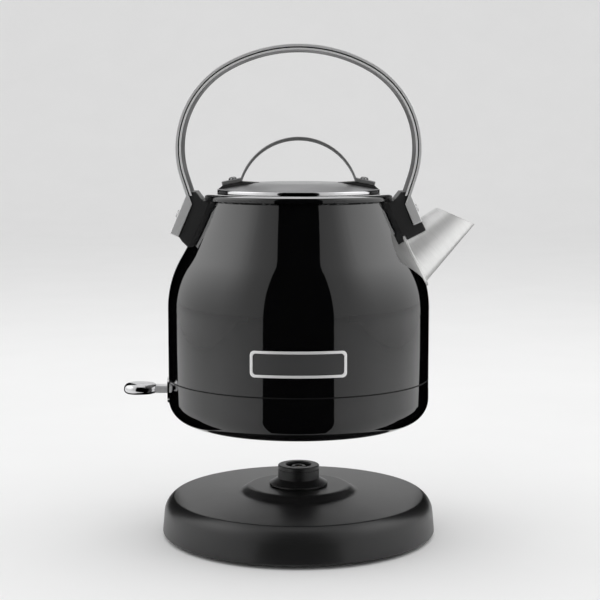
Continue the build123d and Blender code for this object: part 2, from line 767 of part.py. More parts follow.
def leg_screw(length):
    """Pair of domed screws half way down a leg on the +X side."""
    head = leg_point(length / 2, 0)
    inwards = Plane((head[0], 0, head[1]), z_dir=(LEG_IN[0], 0, LEG_IN[1]))
    shank = rod(LEG_SCREW_R, LEG_SCREW_L, z=-LEG_SCREW_HEAD_H / 2)
    dome = rod(LEG_SCREW_HEAD_R, LEG_SCREW_HEAD_H, z=-LEG_SCREW_HEAD_H)
    dome = fillet(dome.edges().sort_by(Axis.Z)[0], LEG_SCREW_HEAD_H * DOME_SHARE)
    screw = inwards * (dome + shank - cross_recess(-LEG_SCREW_HEAD_H))
    way = inwards * rod(LEG_SCREW_R + HOLE_CLEAR, LEG_SCREW_L + HOLE_CLEAR)
    sides = (-LEG_SCREW_PITCH / 2, LEG_SCREW_PITCH / 2)
    return [Pos(0, y, 0) * screw for y in sides], [Pos(0, y, 0) * way for y in sides]


def make_handle():
    """Loop handle, bracket blocks, studs and screws."""
    band = above_foot(loop_layer(0, BAND_T, HANDLE_W))
    core = loop_layer(BAND_T, BAND_T + CORE_T, HANDLE_W - 2 * CORE_INSET)
    liner = above_foot(loop_layer(BAND_T + CORE_T, BAND_T + CORE_T + LINER_T, HANDLE_W))

    left_foot = leg_point(LEFT_LEG_L, LEG_T)
    left_root = (left_foot[0] - BRACKET_FOOT_RUN, left_foot[1] - BRACKET_FOOT_DROP)
    inside_left = (NECK_R / 2, left_root[1] - (left_root[0] - NECK_R / 2))
    left_block = bracket(left_foot, left_root, inside_left)
    leg_end = leg_point(RIGHT_LEG_L, 0)
    toe = (leg_end[0] + TOE_RUN, leg_end[1] - TOE_DROP)
    toe_root = (toe[0] - TOE_ROOT_RUN, toe[1] - TOE_ROOT_DROP)
    inside_right = (NECK_R / 2, toe_root[1] - (toe_root[0] - NECK_R / 2))
    right_foot = leg_point(RIGHT_LEG_L, LEG_T)
    right_block = bracket(right_foot, leg_end, toe, toe_root, inside_right)
    right_block -= spout_cone(MOVE_CLEAR)
    right_block -= spout_cone(SPOUT_FLANGE_W + MOVE_CLEAR) & turned(
        vessel_region(SPOUT_FLANGE_T + MOVE_CLEAR)
    )

    left_screws, left_ways = leg_screw(LEFT_LEG_L)
    right_screws, right_ways = leg_screw(RIGHT_LEG_L)
    leg_face = LEG_TOP_IN_X + (HANDLE_FOOT_Z - STUD_Z) * tan(radians(LEG_SPLAY))
    stud_tip = leg_face - STUD_SHORT
    stud = Rot(Y=90) * rod(STUD_R, stud_tip)
    stud_way = Rot(Y=90) * rod(STUD_R + HOLE_CLEAR, stud_tip + HOLE_CLEAR)
    spots = [Pos(0, y, STUD_Z) for y in (-STUD_PITCH / 2, STUD_PITCH / 2)]
    studs = [spot * stud - BODY for spot in spots]
    stud_ways = [spot * stud_way for spot in spots]
    left_block = mirrored(left_block - left_ways - stud_ways)
    right_block = right_block - right_ways - stud_ways
    band += leg(RIGHT_LEG_L) - right_ways - spout_cone(MOVE_CLEAR)
    band += mirrored(leg(LEFT_LEG_L) - left_ways)
    return {
        "handle_band": band,
        "handle_core": core,
        "handle_liner": liner,
        "left_bracket": left_block,
        "right_bracket": right_block,
        "bracket_studs": whole(*studs, *[mirrored(stud) for stud in studs]),
        "handle_screws": whole(*right_screws, *[mirrored(screw) for screw in left_screws]),
    }


def make_badge():
    """Framed plate wrapped on the front of the vessel."""
    front = Pos(0, BADGE_DEPTH - BODY_R, BADGE_Z) * Rot(X=90)
    whole_plate = RectangleRounded(BADGE_W, BADGE_H, BADGE_CORNER_R)
    window_r = BADGE_CORNER_R - BADGE_LINE / 2
    window = RectangleRounded(BADGE_W - 2 * BADGE_LINE, BADGE_H - 2 * BADGE_LINE, window_r)
    gap = 2 * WELD
    field = RectangleRounded(
        BADGE_W - 2 * BADGE_LINE - gap, BADGE_H - 2 * BADGE_LINE - gap, window_r
    )
    low = BADGE_Z - BADGE_H
    frame_skin = tube(BODY_R + BADGE_FRAME_T, BODY_R, 2 * BADGE_H, low)
    plate_skin = tube(BODY_R + BADGE_PLATE_T, BODY_R, 2 * BADGE_H, low)
    frame = (front * extrude(whole_plate - window, 2 * BADGE_DEPTH)) & frame_skin
    face_r = BODY_R + BADGE_FRAME_T - WELD
    rims = frame.edges().filter_by(lambda edge: hypot(edge.center().X, edge.center().Y) > face_r)
    return {
        "badge_frame": fillet(rims, BADGE_EDGE_R),
        "badge_plate": (front * extrude(field, 2 * BADGE_DEPTH)) & plate_skin,
    }


# Lid

LID_LOW_Z = COLLAR_Z + MOVE_CLEAR
LID_CONE_Z = LID_LOW_Z + LID_EDGE_H


def lid_top(radius):
    """Height of the lid's cone at a radius."""
    share = (LID_R - radius) / (LID_R - LID_FLAT_R)
    return LID_CONE_Z + share * (LID_FLAT_Z - LID_CONE_Z)


def lid_under(radius):
    """Height of the underside of the lid's cone at a radius."""
    inner_r = LID_R - LID_T
    share = (inner_r - radius) / (inner_r - LID_FLAT_R)
    return LID_CONE_Z - LID_T + share * (LID_FLAT_Z - LID_CONE_Z)


def strap_z(x):
    """Height of the underside of the lid strap's foot."""
    foot_z = lid_top(STRAP_FOOT_R) + PAD_T
    return foot_z - (x - STRAP_FOOT_R) * tan(radians(STRAP_SLOPE))


def strap_edges(lift):
    """Underside of the lid strap from foot to foot, moved out by lift."""
    slope = radians(STRAP_SLOPE)
    end = (STRAP_END_R + lift * sin(slope), strap_z(STRAP_END_R) + lift * cos(slope))
    foot = (STRAP_FOOT_R + lift * sin(slope), strap_z(STRAP_FOOT_R) + lift * cos(slope))
    top = (0, STRAP_TOP_Z - STRAP_T + lift)
    return [
        Line((-end[0], end[1]), (-foot[0], foot[1])),
        ThreePointArc((-foot[0], foot[1]), top, foot),
        Line(foot, end),
    ], end


def make_lid():
    """Lid skin, plug, seal, arched strap, pads, screws and nuts."""
    skin = flat(
        (0, LID_LOW_Z),
        (LID_R, LID_LOW_Z),
        (LID_R, LID_CONE_Z),
        (LID_FLAT_R, LID_FLAT_Z),
        (0, LID_FLAT_Z),
    )
    hollow = flat(
        (0, LID_LOW_Z),
        (LID_R - LID_T, LID_LOW_Z),
        (LID_R - LID_T, LID_CONE_Z - LID_T),
        (LID_FLAT_R, LID_FLAT_Z - LID_T),
        (0, LID_FLAT_Z - LID_T),
    )
    outer = turned(skin)
    rounded = fillet(outer.edges().filter_by(GeomType.CIRCLE).group_by(Axis.Z)[1], LID_EDGE_R)
    cap = rounded - turned(hollow)

    seal_high = LID_LOW_Z - SEAL_DROP
    plug_low = LID_LOW_Z - PLUG_DEPTH
    ceiling = lid_under(PLUG_R)
    ceiling_in = lid_under(PLUG_R - PLUG_T)
    plug = flat(
        (0, plug_low),
        (PLUG_R, plug_low),
        (PLUG_R, seal_high - SEAL_H),
        (PLUG_R - SEAL_GROOVE, seal_high - SEAL_H),
        (PLUG_R - SEAL_GROOVE, seal_high),
        (PLUG_R, seal_high),
        (PLUG_R, ceiling - WELD),
        (PLUG_R - PLUG_T, ceiling_in - WELD),
        (PLUG_R - PLUG_T - SEAL_GROOVE, seal_high),
        (PLUG_R - PLUG_T - SEAL_GROOVE, plug_low + PLUG_T),
        (0, plug_low + PLUG_T),
    )
    seal = tube(PLUG_R + SEAL_PROUD, PLUG_R - SEAL_GROOVE + WELD, SEAL_H - 2 * WELD,
                seal_high - SEAL_H + WELD)

    under, under_end = strap_edges(0)
    over, over_end = strap_edges(STRAP_T)
    sides = [
        Line((s * under_end[0], under_end[1]), (s * over_end[0], over_end[1])) for s in (1, -1)
    ]
    strap = eased(slab(make_face(under + over + sides), STRAP_W), STRAP_W, STRAP_EDGE_R)

    pad_outline = flat(
        (PAD_IN_R, LID_LOW_Z),
        (PAD_OUT_R, LID_LOW_Z),
        (PAD_OUT_R, lid_top(PAD_OUT_R)),
        (STRAP_END_R, strap_z(STRAP_END_R)),
        (STRAP_FOOT_R, strap_z(STRAP_FOOT_R)),
        (PAD_IN_R, LID_FLAT_Z + WELD),
    )
    pad = slab(pad_outline, PAD_W) - rounded

    lean = radians(STRAP_SLOPE)
    top_z = strap_z(LID_SCREW_AT_R) + STRAP_T / cos(lean)
    place = Plane((LID_SCREW_AT_R, 0, top_z), x_dir=(cos(lean), 0, -sin(lean)),
                  z_dir=(sin(lean), 0, cos(lean)))
    dome = rod(LID_SCREW_HEAD_R, LID_SCREW_HEAD_H)
    dome = fillet(dome.edges().sort_by(Axis.Z)[-1], LID_SCREW_HEAD_H * DOME_SHARE)
    dome -= cross_recess(LID_SCREW_HEAD_H)
    screw = place * (dome + rod(LID_SCREW_R, LID_SCREW_L, z=-LID_SCREW_L))
    way = place * rod(LID_SCREW_R + HOLE_CLEAR, 2 * LID_SCREW_L, z=-LID_SCREW_L - HOLE_CLEAR)
    nut_top = lid_under(LID_SCREW_AT_R) - HOLE_CLEAR
    nut_face = Plane((LID_SCREW_AT_R, 0, nut_top),
                     x_dir=(cos(lean), 0, -sin(lean)), z_dir=(-sin(lean), 0, -cos(lean)))
    nut = nut_face * extrude(RegularPolygon(LID_NUT_R, 6), LID_NUT_T) - way
    ways = [way, mirrored(way)]
    pad -= way
    return {
        "lid_cap": cap - ways,
        "lid_plug": turned(plug),
        "lid_seal": seal,
        "lid_handle": strap - ways,
        "lid_pads": whole(pad, mirrored(pad)),
        "lid_screws": whole(screw, mirrored(screw)),
        "lid_nuts": whole(nut, mirrored(nut)),
    }


# Heating, control and underside

COVER_TOP_Z = UNDERSIDE_Z + SHELL_T + COVER_T
HOUSING_LOW_Z = RECESS_Z + COVER_T
SPREADER_Z = FLOOR_Z - SPREADER_T
CAP_TOP_Z = SPREADER_Z - DISC_T
ROOF_Z = PLATEAU_Z + BOSS_H - SEATED_Z + MOVE_CLEAR
SOCKET_TOP_Z = ROOF_Z + SOCKET_ROOF_T
CAP_LOW_Z = SOCKET_TOP_Z + MOVE_CLEAR


def make_heating():
    """Vessel floor, heat spreader, sheathed element and steam tube."""
    tube_way = rod(TUBE_R + WELD, FAR, x=-TUBE_X)
    floor = rod(BODY_R - SHELL_T - WELD, FLOOR_T, z=FLOOR_Z) - tube_way
    spreader = rod(SPREADER_R, SPREADER_T, z=SPREADER_Z)
    spreader -= rod(TUBE_R + MOVE_CLEAR, FAR, x=-TUBE_X)

    middle_z = SPREADER_Z - ELEMENT_TUBE_R - WELD
    sweep_deg = 360 - ELEMENT_GAP_DEG
    start = ELEMENT_GAP_DEG / 2 - 180
    section = Pos(ELEMENT_R, 0, middle_z) * Rot(X=90) * Circle(ELEMENT_TUBE_R)
    element = Rot(Z=start) * revolve(section, Axis.Z, sweep_deg)
    pin = Pos(ELEMENT_R, 0, middle_z) * Rot(X=90) * rod(ELEMENT_PIN_R, ELEMENT_PIN_L)
    pins = [Rot(Z=start) * pin, mirror(Rot(Z=start) * pin, Plane.XZ)]
    steam = rod(TUBE_R, TUBE_TOP_Z - TUBE_FOOT_Z, x=-TUBE_X, z=TUBE_FOOT_Z)
    steam -= rod(TUBE_R - TUBE_T, FAR, x=-TUBE_X)
    return {
        "vessel_floor": floor,
        "heat_spreader": spreader,
        "heating_element": element,
        "element_pins": whole(*pins),
        "steam_tube": steam,
    }


def make_control():
    """Connector socket, the control round it and the bottom cover."""
    socket = flat(
        (SOCKET_BORE_R, SOCKET_LIP_Z),
        (SOCKET_R, SOCKET_LIP_Z),
        (SOCKET_R, SOCKET_TOP_Z - SOCKET_FLANGE_T),
        (SOCKET_FLANGE_R, SOCKET_TOP_Z - SOCKET_FLANGE_T),
        (SOCKET_FLANGE_R, SOCKET_TOP_Z),
        (SOCKET_TUBE_BORE_R, SOCKET_TOP_Z),
        (SOCKET_TUBE_BORE_R, ROOF_Z - SOCKET_TUBE_L),
        (SOCKET_TUBE_R, ROOF_Z - SOCKET_TUBE_L),
        (SOCKET_TUBE_R, ROOF_Z),
        (SOCKET_BORE_R, ROOF_Z),
    )
    ledge_z = SOCKET_TOP_Z - SOCKET_FLANGE_T - MOVE_CLEAR
    housing = flat(
        (SOCKET_R + MOVE_CLEAR, HOUSING_LOW_Z),
        (HOUSING_R, HOUSING_LOW_Z),
        (HOUSING_R, CAP_LOW_Z),
        (SOCKET_FLANGE_R + MOVE_CLEAR, CAP_LOW_Z),
        (SOCKET_FLANGE_R + MOVE_CLEAR, ledge_z),
        (SOCKET_R + MOVE_CLEAR, ledge_z),
    )
    housing = turned(housing)
    cap = rod(HOUSING_R, CAP_TOP_Z - CAP_LOW_Z, z=CAP_LOW_Z)
    lower_spots = around(CONTROL_SCREW_COUNT, CONTROL_PITCH_R, 0)
    upper_spots = around(CONTROL_SCREW_COUNT, CONTROL_PITCH_R, 180 / CONTROL_SCREW_COUNT)
    long_way = HOUSING_LOW_Z + CONTROL_SCREW_L
    stay = rod(CONTROL_SCREW_R, SPREADER_Z - long_way, z=long_way)
    stay_way = rod(CONTROL_SCREW_R + HOLE_CLEAR, SPREADER_Z - long_way, z=long_way)
    short = rod(CONTROL_SCREW_R, COVER_T + CONTROL_SCREW_L, z=RECESS_Z)
    short += rod(CONTROL_SCREW_HEAD_R, CONTROL_SCREW_HEAD_H, z=RECESS_Z - CONTROL_SCREW_HEAD_H)
    short -= cross_recess(RECESS_Z - CONTROL_SCREW_HEAD_H)
    short_way = rod(CONTROL_SCREW_R + HOLE_CLEAR, COVER_T + CONTROL_SCREW_L, z=RECESS_Z)
    housing -= [spot * stay_way for spot in upper_spots]
    housing -= [spot * short_way for spot in lower_spots]
    cap -= [spot * stay_way for spot in upper_spots]

    foot_out = FOOT_RING_IN_R + FOOT_RING_T
    lip_z = UNDERSIDE_Z + SHELL_T
    cover = flat(
        (FOOT_RING_IN_R, 0),
        (foot_out, 0),
        (foot_out, lip_z),
        (BODY_R - BOTTOM_FILLET - HOLE_CLEAR, lip_z),
        (BODY_R - BOTTOM_FILLET - HOLE_CLEAR, COVER_TOP_Z),
        (RECESS_R + COVER_T, COVER_TOP_Z),
        (RECESS_R + COVER_T, HOUSING_LOW_Z),
        (COVER_MOUTH_R, HOUSING_LOW_Z),
        (COVER_MOUTH_R, RECESS_Z),
        (RECESS_R, RECESS_Z),
        (RECESS_R, lip_z),
        (FOOT_RING_IN_R, lip_z),
    )
    cover = turned(cover) - [spot * short_way for spot in lower_spots]
    disc = rod(DISC_R, DISC_T, z=CAP_TOP_Z)
    return {
        "connector_socket": turned(socket),
        "control_housing": housing,
        "control_cap": cap,
        "control_screws": whole(*[spot * stay for spot in upper_spots]),
        "bimetal_discs": whole(Pos(0, DISC_AT, 0) * disc, Pos(0, -DISC_AT, 0) * disc),
        "bottom_cover": cover,
        "cover_screws": whole(*[spot * short for spot in lower_spots]),
    }


# Switch

def lever_slot():
    """Slot through the shell and its bezel, wide enough for the stem's travel."""
    drop = (BODY_R + BEZEL_T - LEVER_PIVOT_X) * tan(radians(LEVER_TRAVEL)) + 2 * MOVE_CLEAR
    low = LEVER_Z - STEM_T / 2 - drop
    high = LEVER_Z + STEM_T / 2 + MOVE_CLEAR
    return block(-LEVER_REACH, -LEVER_PIVOT_X - HUB_R, STEM_W + 2 * MOVE_CLEAR, low, high)


def make_switch():
    """Lever with its paddle and arm, pin, carrier, plunger and bezel."""
    neck_x = LEVER_REACH - PADDLE_L
    round_r = PADDLE_W / 2
    tip_x = LEVER_REACH - round_r
    plan = make_face([
        Line((neck_x, -STEM_W / 2), (tip_x, -round_r)),
        CenterArc((tip_x, 0), round_r, -90, 180),
        Line((tip_x, round_r), (neck_x, STEM_W / 2)),
        Line((neck_x, STEM_W / 2), (neck_x, -STEM_W / 2)),
    ])
    paddle = extrude(plan, PADDLE_T / 2, both=True)
    rims = paddle.edges().filter_by(lambda edge: abs(edge.center().Z) > PADDLE_T / 4)
    paddle = fillet(rims.filter_by(lambda edge: edge.center().X > neck_x + WELD), PADDLE_EDGE_R)
    paddle = Pos(0, 0, LEVER_Z) * Rot(Z=180) * paddle

    pivot = Pos(-LEVER_PIVOT_X, 0, LEVER_Z) * Rot(X=90)
    stem_l = neck_x - LEVER_PIVOT_X
    arm = pivot * Cylinder(HUB_R, STEM_W)
    arm += Pos(-LEVER_PIVOT_X - stem_l / 2, 0, LEVER_Z) * Box(stem_l, STEM_W, STEM_T)
    arm += Pos(-LEVER_PIVOT_X + ARM_L / 2, 0, LEVER_Z) * Box(ARM_L, ARM_W, ARM_T)
    arm -= pivot * Cylinder(LEVER_PIN_R + PIN_CLEAR, FAR)

    gap_w = STEM_W + 2 * MOVE_CLEAR
    carrier_w = gap_w + 2 * CHEEK_T
    inside = turned(lower_region(-SHELL_T))
    top_z = GUIDE_Z + GUIDE_T
    carrier = block(-BODY_R, -CARRIER_IN_X, carrier_w, COVER_TOP_Z, top_z) & inside
    carrier -= block(-BODY_R, -CARRIER_IN_X + FAR, gap_w, COVER_TOP_Z + CHEEK_T, GUIDE_Z)
    carrier -= block(-BODY_R, -LEVER_PIVOT_X + HUB_R + MOVE_CLEAR, gap_w, LEVER_Z, FAR)
    carrier -= pivot * Cylinder(LEVER_PIN_R + PIN_CLEAR, FAR)
    carrier -= rod(PLUNGER_R + GUIDE_CLEAR, FAR, x=-PLUNGER_X, z=GUIDE_Z - WELD)
    pin = pivot * Cylinder(LEVER_PIN_R, carrier_w)

    foot_z = LEVER_Z + ARM_T / 2 + MOVE_CLEAR
    plunger = rod(PLUNGER_R, PLUNGER_TOP_Z - foot_z, x=-PLUNGER_X, z=foot_z)
    tip = plunger.edges().filter_by(GeomType.CIRCLE).sort_by(Axis.Z)[0]
    plunger = fillet(tip, PLUNGER_R * DOME_SHARE)

    bezel_top = SEAM_Z - SEAM_GAP / 2 - BEZEL_DROP
    side = Plane((-BODY_R / 2, 0, bezel_top - BEZEL_H / 2), x_dir=(0, 1, 0), z_dir=(-1, 0, 0))
    outline = side * extrude(RectangleRounded(BEZEL_W, BEZEL_H, BEZEL_CORNER_R), BODY_R)
    skin = turned(lower_region(BEZEL_T)) - turned(lower_region(0))
    return {
        "lever_paddle": paddle,
        "lever_arm": arm,
        "lever_pin": pin,
        "switch_carrier": carrier,
        "trip_plunger": plunger,
        "switch_bezel": (outline & skin) - lever_slot(),
    }


def main():
    """Build every piece and write one file for each."""
    os.makedirs("parts", exist_ok=True)
    standing = make_base() | make_boss()
    lifted = make_body() | make_spout() | make_handle() | make_badge()
    lifted |= make_lid() | make_heating() | make_control() | make_switch()
    pieces = standing | {name: Pos(0, 0, KETTLE_Z) * piece for name, piece in lifted.items()}
    for name, piece in pieces.items():
        export_step(piece, f"parts/{name}.step")
    print(f"{len(pieces)} pieces, kettle underside at {KETTLE_Z:.3f}, seated at {SEATED_Z:.3f}")


main()
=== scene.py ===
"""Looks of a gloss black electric kettle, lifted off its round power base."""

import logging
import math
from collections.abc import Callable
from dataclasses import dataclass, field
from enum import Enum

import bpy
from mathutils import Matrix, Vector


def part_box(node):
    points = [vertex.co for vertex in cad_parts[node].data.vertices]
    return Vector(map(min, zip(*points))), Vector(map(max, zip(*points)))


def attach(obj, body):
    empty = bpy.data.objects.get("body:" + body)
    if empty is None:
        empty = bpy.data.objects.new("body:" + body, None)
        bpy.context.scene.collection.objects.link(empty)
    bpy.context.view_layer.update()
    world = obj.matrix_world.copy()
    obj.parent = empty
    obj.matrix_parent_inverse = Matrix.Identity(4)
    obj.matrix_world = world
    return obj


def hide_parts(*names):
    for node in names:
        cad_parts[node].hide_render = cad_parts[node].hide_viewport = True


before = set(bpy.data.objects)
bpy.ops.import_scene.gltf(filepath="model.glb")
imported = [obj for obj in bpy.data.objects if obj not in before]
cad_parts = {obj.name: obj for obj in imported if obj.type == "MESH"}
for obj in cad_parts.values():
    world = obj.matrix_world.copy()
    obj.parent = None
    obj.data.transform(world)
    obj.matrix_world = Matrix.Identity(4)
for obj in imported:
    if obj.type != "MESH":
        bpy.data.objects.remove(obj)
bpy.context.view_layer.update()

log = logging.getLogger("kettle")

Colour = tuple[float, float, float]
Point = tuple[float, float, float]
Range = tuple[float, float]
Names = tuple[str, ...]
Socket = bpy.types.NodeSocket
Tint = Colour | Socket

WHITE = (1.0, 1.0, 1.0, 1.0)
BLACK = (0.0, 0.0, 0.0, 1.0)
# Share of a place that is left when its height is taken out.
FLAT: Point = (1.0, 1.0, 0.0)
# Least height of the normal of a face that looks up.
UPWARD = 0.9
# Points of a new plane, in order round it.
ROUND_PLANE = (0, 1, 3, 2)
# Places of the colours among a Mix node's sockets.
FIRST_COLOUR, SECOND_COLOUR, MIXED_COLOUR = 6, 7, 2


class Grain(Enum):
    """Direction in which a metal has been brushed."""

    EVEN = "even"
    ROUND_AXIS = "round the kettle's axis"
    ROUND_SPOUT = "round the spout's axis"
    ALONG_LOOP = "along the handle's loop"


class HighlightFaces(Enum):
    """Faces of a metal piece that get a painted highlight."""

    FRONT_AND_BACK = "front and back"
    RIM = "upright rim"


class Detail(Enum):
    """Octaves of a noise."""

    SOFT = 2.0
    USUAL = 3.0
    FINE = 4.0


class Pick(Enum):
    """What is picked in edit mode."""

    POINTS = "VERT"
    EDGES = "EDGE"
    FACES = "FACE"


class Side(Enum):
    """Side of the kettle, as the way along X."""

    LEFT = -1.0
    RIGHT = 1.0


def scaled(colour: Colour, share: float, lift: float = 0.0) -> Colour:
    """Return a colour times a share, plus a lift."""
    return tuple(share * part + lift for part in colour)


class Shading:
    """Node tree of one material around a Principled surface."""

    def __init__(self, name: str) -> None:
        """Start an empty material.

        Args:
            name: Name of the material.
        """
        self.material = bpy.data.materials.new(name)
        self.material.use_nodes = True
        self.tree = self.material.node_tree
        self.surface = self.tree.nodes["Principled BSDF"]
        self.coords = self.tree.nodes.new("ShaderNodeTexCoord")

    def set(self, **values: float | tuple[float, ...]) -> None:
        """Set constant values on the surface's own sockets.

        Args:
            values: Socket names with underscores for spaces, and their values.
        """
        for key, value in values.items():
            self.surface.inputs[key.replace("_", " ")].default_value = value

    def feed(self, socket: str, source: Socket) -> None:
        """Link a node's output to one of the surface's sockets."""
        self.tree.links.new(source, self.surface.inputs[socket])

    def node(self, kind: str, *sources: object) -> bpy.types.Node:
        """Add a node and fill its inputs in order.

        Args:
            kind: Node type without its common prefix.
            sources: A socket to link, a value to set, or None to leave an input alone.

        Returns:
            The new node.
        """
        made = self.tree.nodes.new("ShaderNode" + kind)
        for place, source in enumerate(sources):
            if isinstance(source, Socket):
                self.tree.links.new(source, made.inputs[place])
            elif source is not None:
                made.inputs[place].default_value = source
        return made

    def math(self, operation: str, *sources: object) -> Socket:
        """Add a Math node.

        Args:
            operation: What it does with its inputs.
            sources: Sockets to link or values to set.

        Returns:
            Its output.
        """
        made = self.node("Math", *sources)
        made.operation = operation
        return made.outputs[0]

    def place(self, scale: float | Point, turn: Point = (0.0, 0.0, 0.0)) -> Socket:
        """Object coordinates, turned and then scaled.

        Args:
            scale: Repeats to the metre, the same all ways or along each turned axis.
            turn: Euler angles of the turn, in radians.

        Returns:
            The mapped coordinates.
        """
        repeats = scale if isinstance(scale, tuple) else (scale,) * 3
        turned = self.node("Mapping", self.coords.outputs["Object"], None, turn)
        return self.node("Mapping", turned.outputs[0], None, None, repeats).outputs[0]

    def noise(self, vector: Socket, detail: Detail = Detail.FINE, rough: float = 0.55) -> Socket:
        """Fractal noise on mapped coordinates.

        Args:
            vector: Mapped coordinates.
            detail: Number of octaves.
            rough: Weight of the finer octaves.

        Returns:
            The noise value, about 0 to 1.
        """
        made = self.node("TexNoise", vector)
        made.inputs["Scale"].default_value = 1.0
        made.inputs["Detail"].default_value = detail.value
        made.inputs["Roughness"].default_value = rough
        return made.outputs[0]

    def span(self, source: Socket, low: float, high: float,
             start: float = 0.3, end: float = 0.7) -> Socket:
        """Map a value from start..end to low..high.

        Args:
            source: Value to map.
            low: Result at start.
            high: Result at end.
            start: Lower end of the input.
            end: Upper end of the input.

        Returns:
            The mapped value.
        """
        return self.node("MapRange", source, start, end, low, high).outputs[0]

    def mix(self, share: Socket, first: Tint, second: Tint) -> Socket:
        """Colour between two colours.

        Args:
            share: How much of the second colour shows.
            first: A colour, or a socket that gives one.
            second: A colour, or a socket that gives one.

        Returns:
            The mixed colour.
        """
        made = self.tree.nodes.new("ShaderNodeMix")
        made.data_type = "RGBA"
        self.tree.links.new(share, made.inputs["Factor"])
        for place, tint in ((FIRST_COLOUR, first), (SECOND_COLOUR, second)):
            if isinstance(tint, Socket):
                self.tree.links.new(tint, made.inputs[place])
            else:
                made.inputs[place].default_value = (*tint, 1.0)
        return made.outputs[MIXED_COLOUR]

    def flattened(self) -> Socket:
        """Object coordinates with their height taken out.

        Returns:
            The flat coordinates.
        """
        flat = self.node("VectorMath", self.coords.outputs["Object"], FLAT)
        flat.operation = "MULTIPLY"
        return flat.outputs[0]

    def inward(self) -> Socket:
        """Tell the faces that look towards the kettle's axis from the others.

        Returns:
            1 on the faces that look inwards, and 0 elsewhere.
        """
        facing = self.node("VectorMath", self.flattened(), self.coords.outputs["Normal"])
        facing.operation = "DOT_PRODUCT"
        return self.math("LESS_THAN", facing.outputs["Value"], 0.0)

    def bump(self, height: Socket, depth: float) -> None:
        """Raise the surface by a height field.

        Args:
            height: Height, about 0 to 1.
            depth: Metres that a height of 1 stands for.
        """
        made = self.node("Bump")
        made.inputs["Strength"].default_value = 1.0
        made.inputs["Distance"].default_value = depth
        self.tree.links.new(height, made.inputs["Height"])
        self.feed("Normal", made.outputs[0])


@dataclass(frozen=True)
class Enamel:
    """Gloss enamel over sheet steel, which may leave the inner wall bare."""

    name: str
    bare_inside: bool
    colour: Colour = (0.002, 0.002, 0.0022)
    deep_share: float = 0.8
    pool: float = 60.0
    bare: Colour = (0.6, 0.6, 0.595)
    bare_roughness: float = 0.28
    wipe: Point = (30.0, 30.0, 900.0)
    gloss: Range = (0.03, 0.06)
    peel: float = 260.0
    peel_depth: float = 0.000006
    ior: float = 1.5
    coat: float = 0.7
    coat_roughness: float = 0.02

    def material(self) -> bpy.types.Material:
        """Build the finish.

        Returns:
            A material with a faint orange peel and hairline wipe marks.
        """
        shade = Shading(self.name)
        rough = shade.span(shade.noise(shade.place(self.wipe)), *self.gloss)
        pool = shade.noise(shade.place(self.pool), Detail.SOFT)
        deep = scaled(self.colour, self.deep_share)
        tone = shade.mix(shade.span(pool, 0.0, 1.0), deep, self.colour)
        if self.bare_inside:
            inside = shade.inward()
            tone = shade.mix(inside, tone, self.bare)
            shade.feed("Metallic", inside)
            rough = shade.math("MULTIPLY_ADD", inside, self.bare_roughness, rough)
        shade.feed("Base Color", tone)
        shade.feed("Roughness", rough)
        shade.set(IOR=self.ior, Coat_Weight=self.coat, Coat_Roughness=self.coat_roughness,
                  Coat_IOR=self.ior)
        shade.bump(shade.noise(shade.place(self.peel), Detail.SOFT), self.peel_depth)
        return shade.material


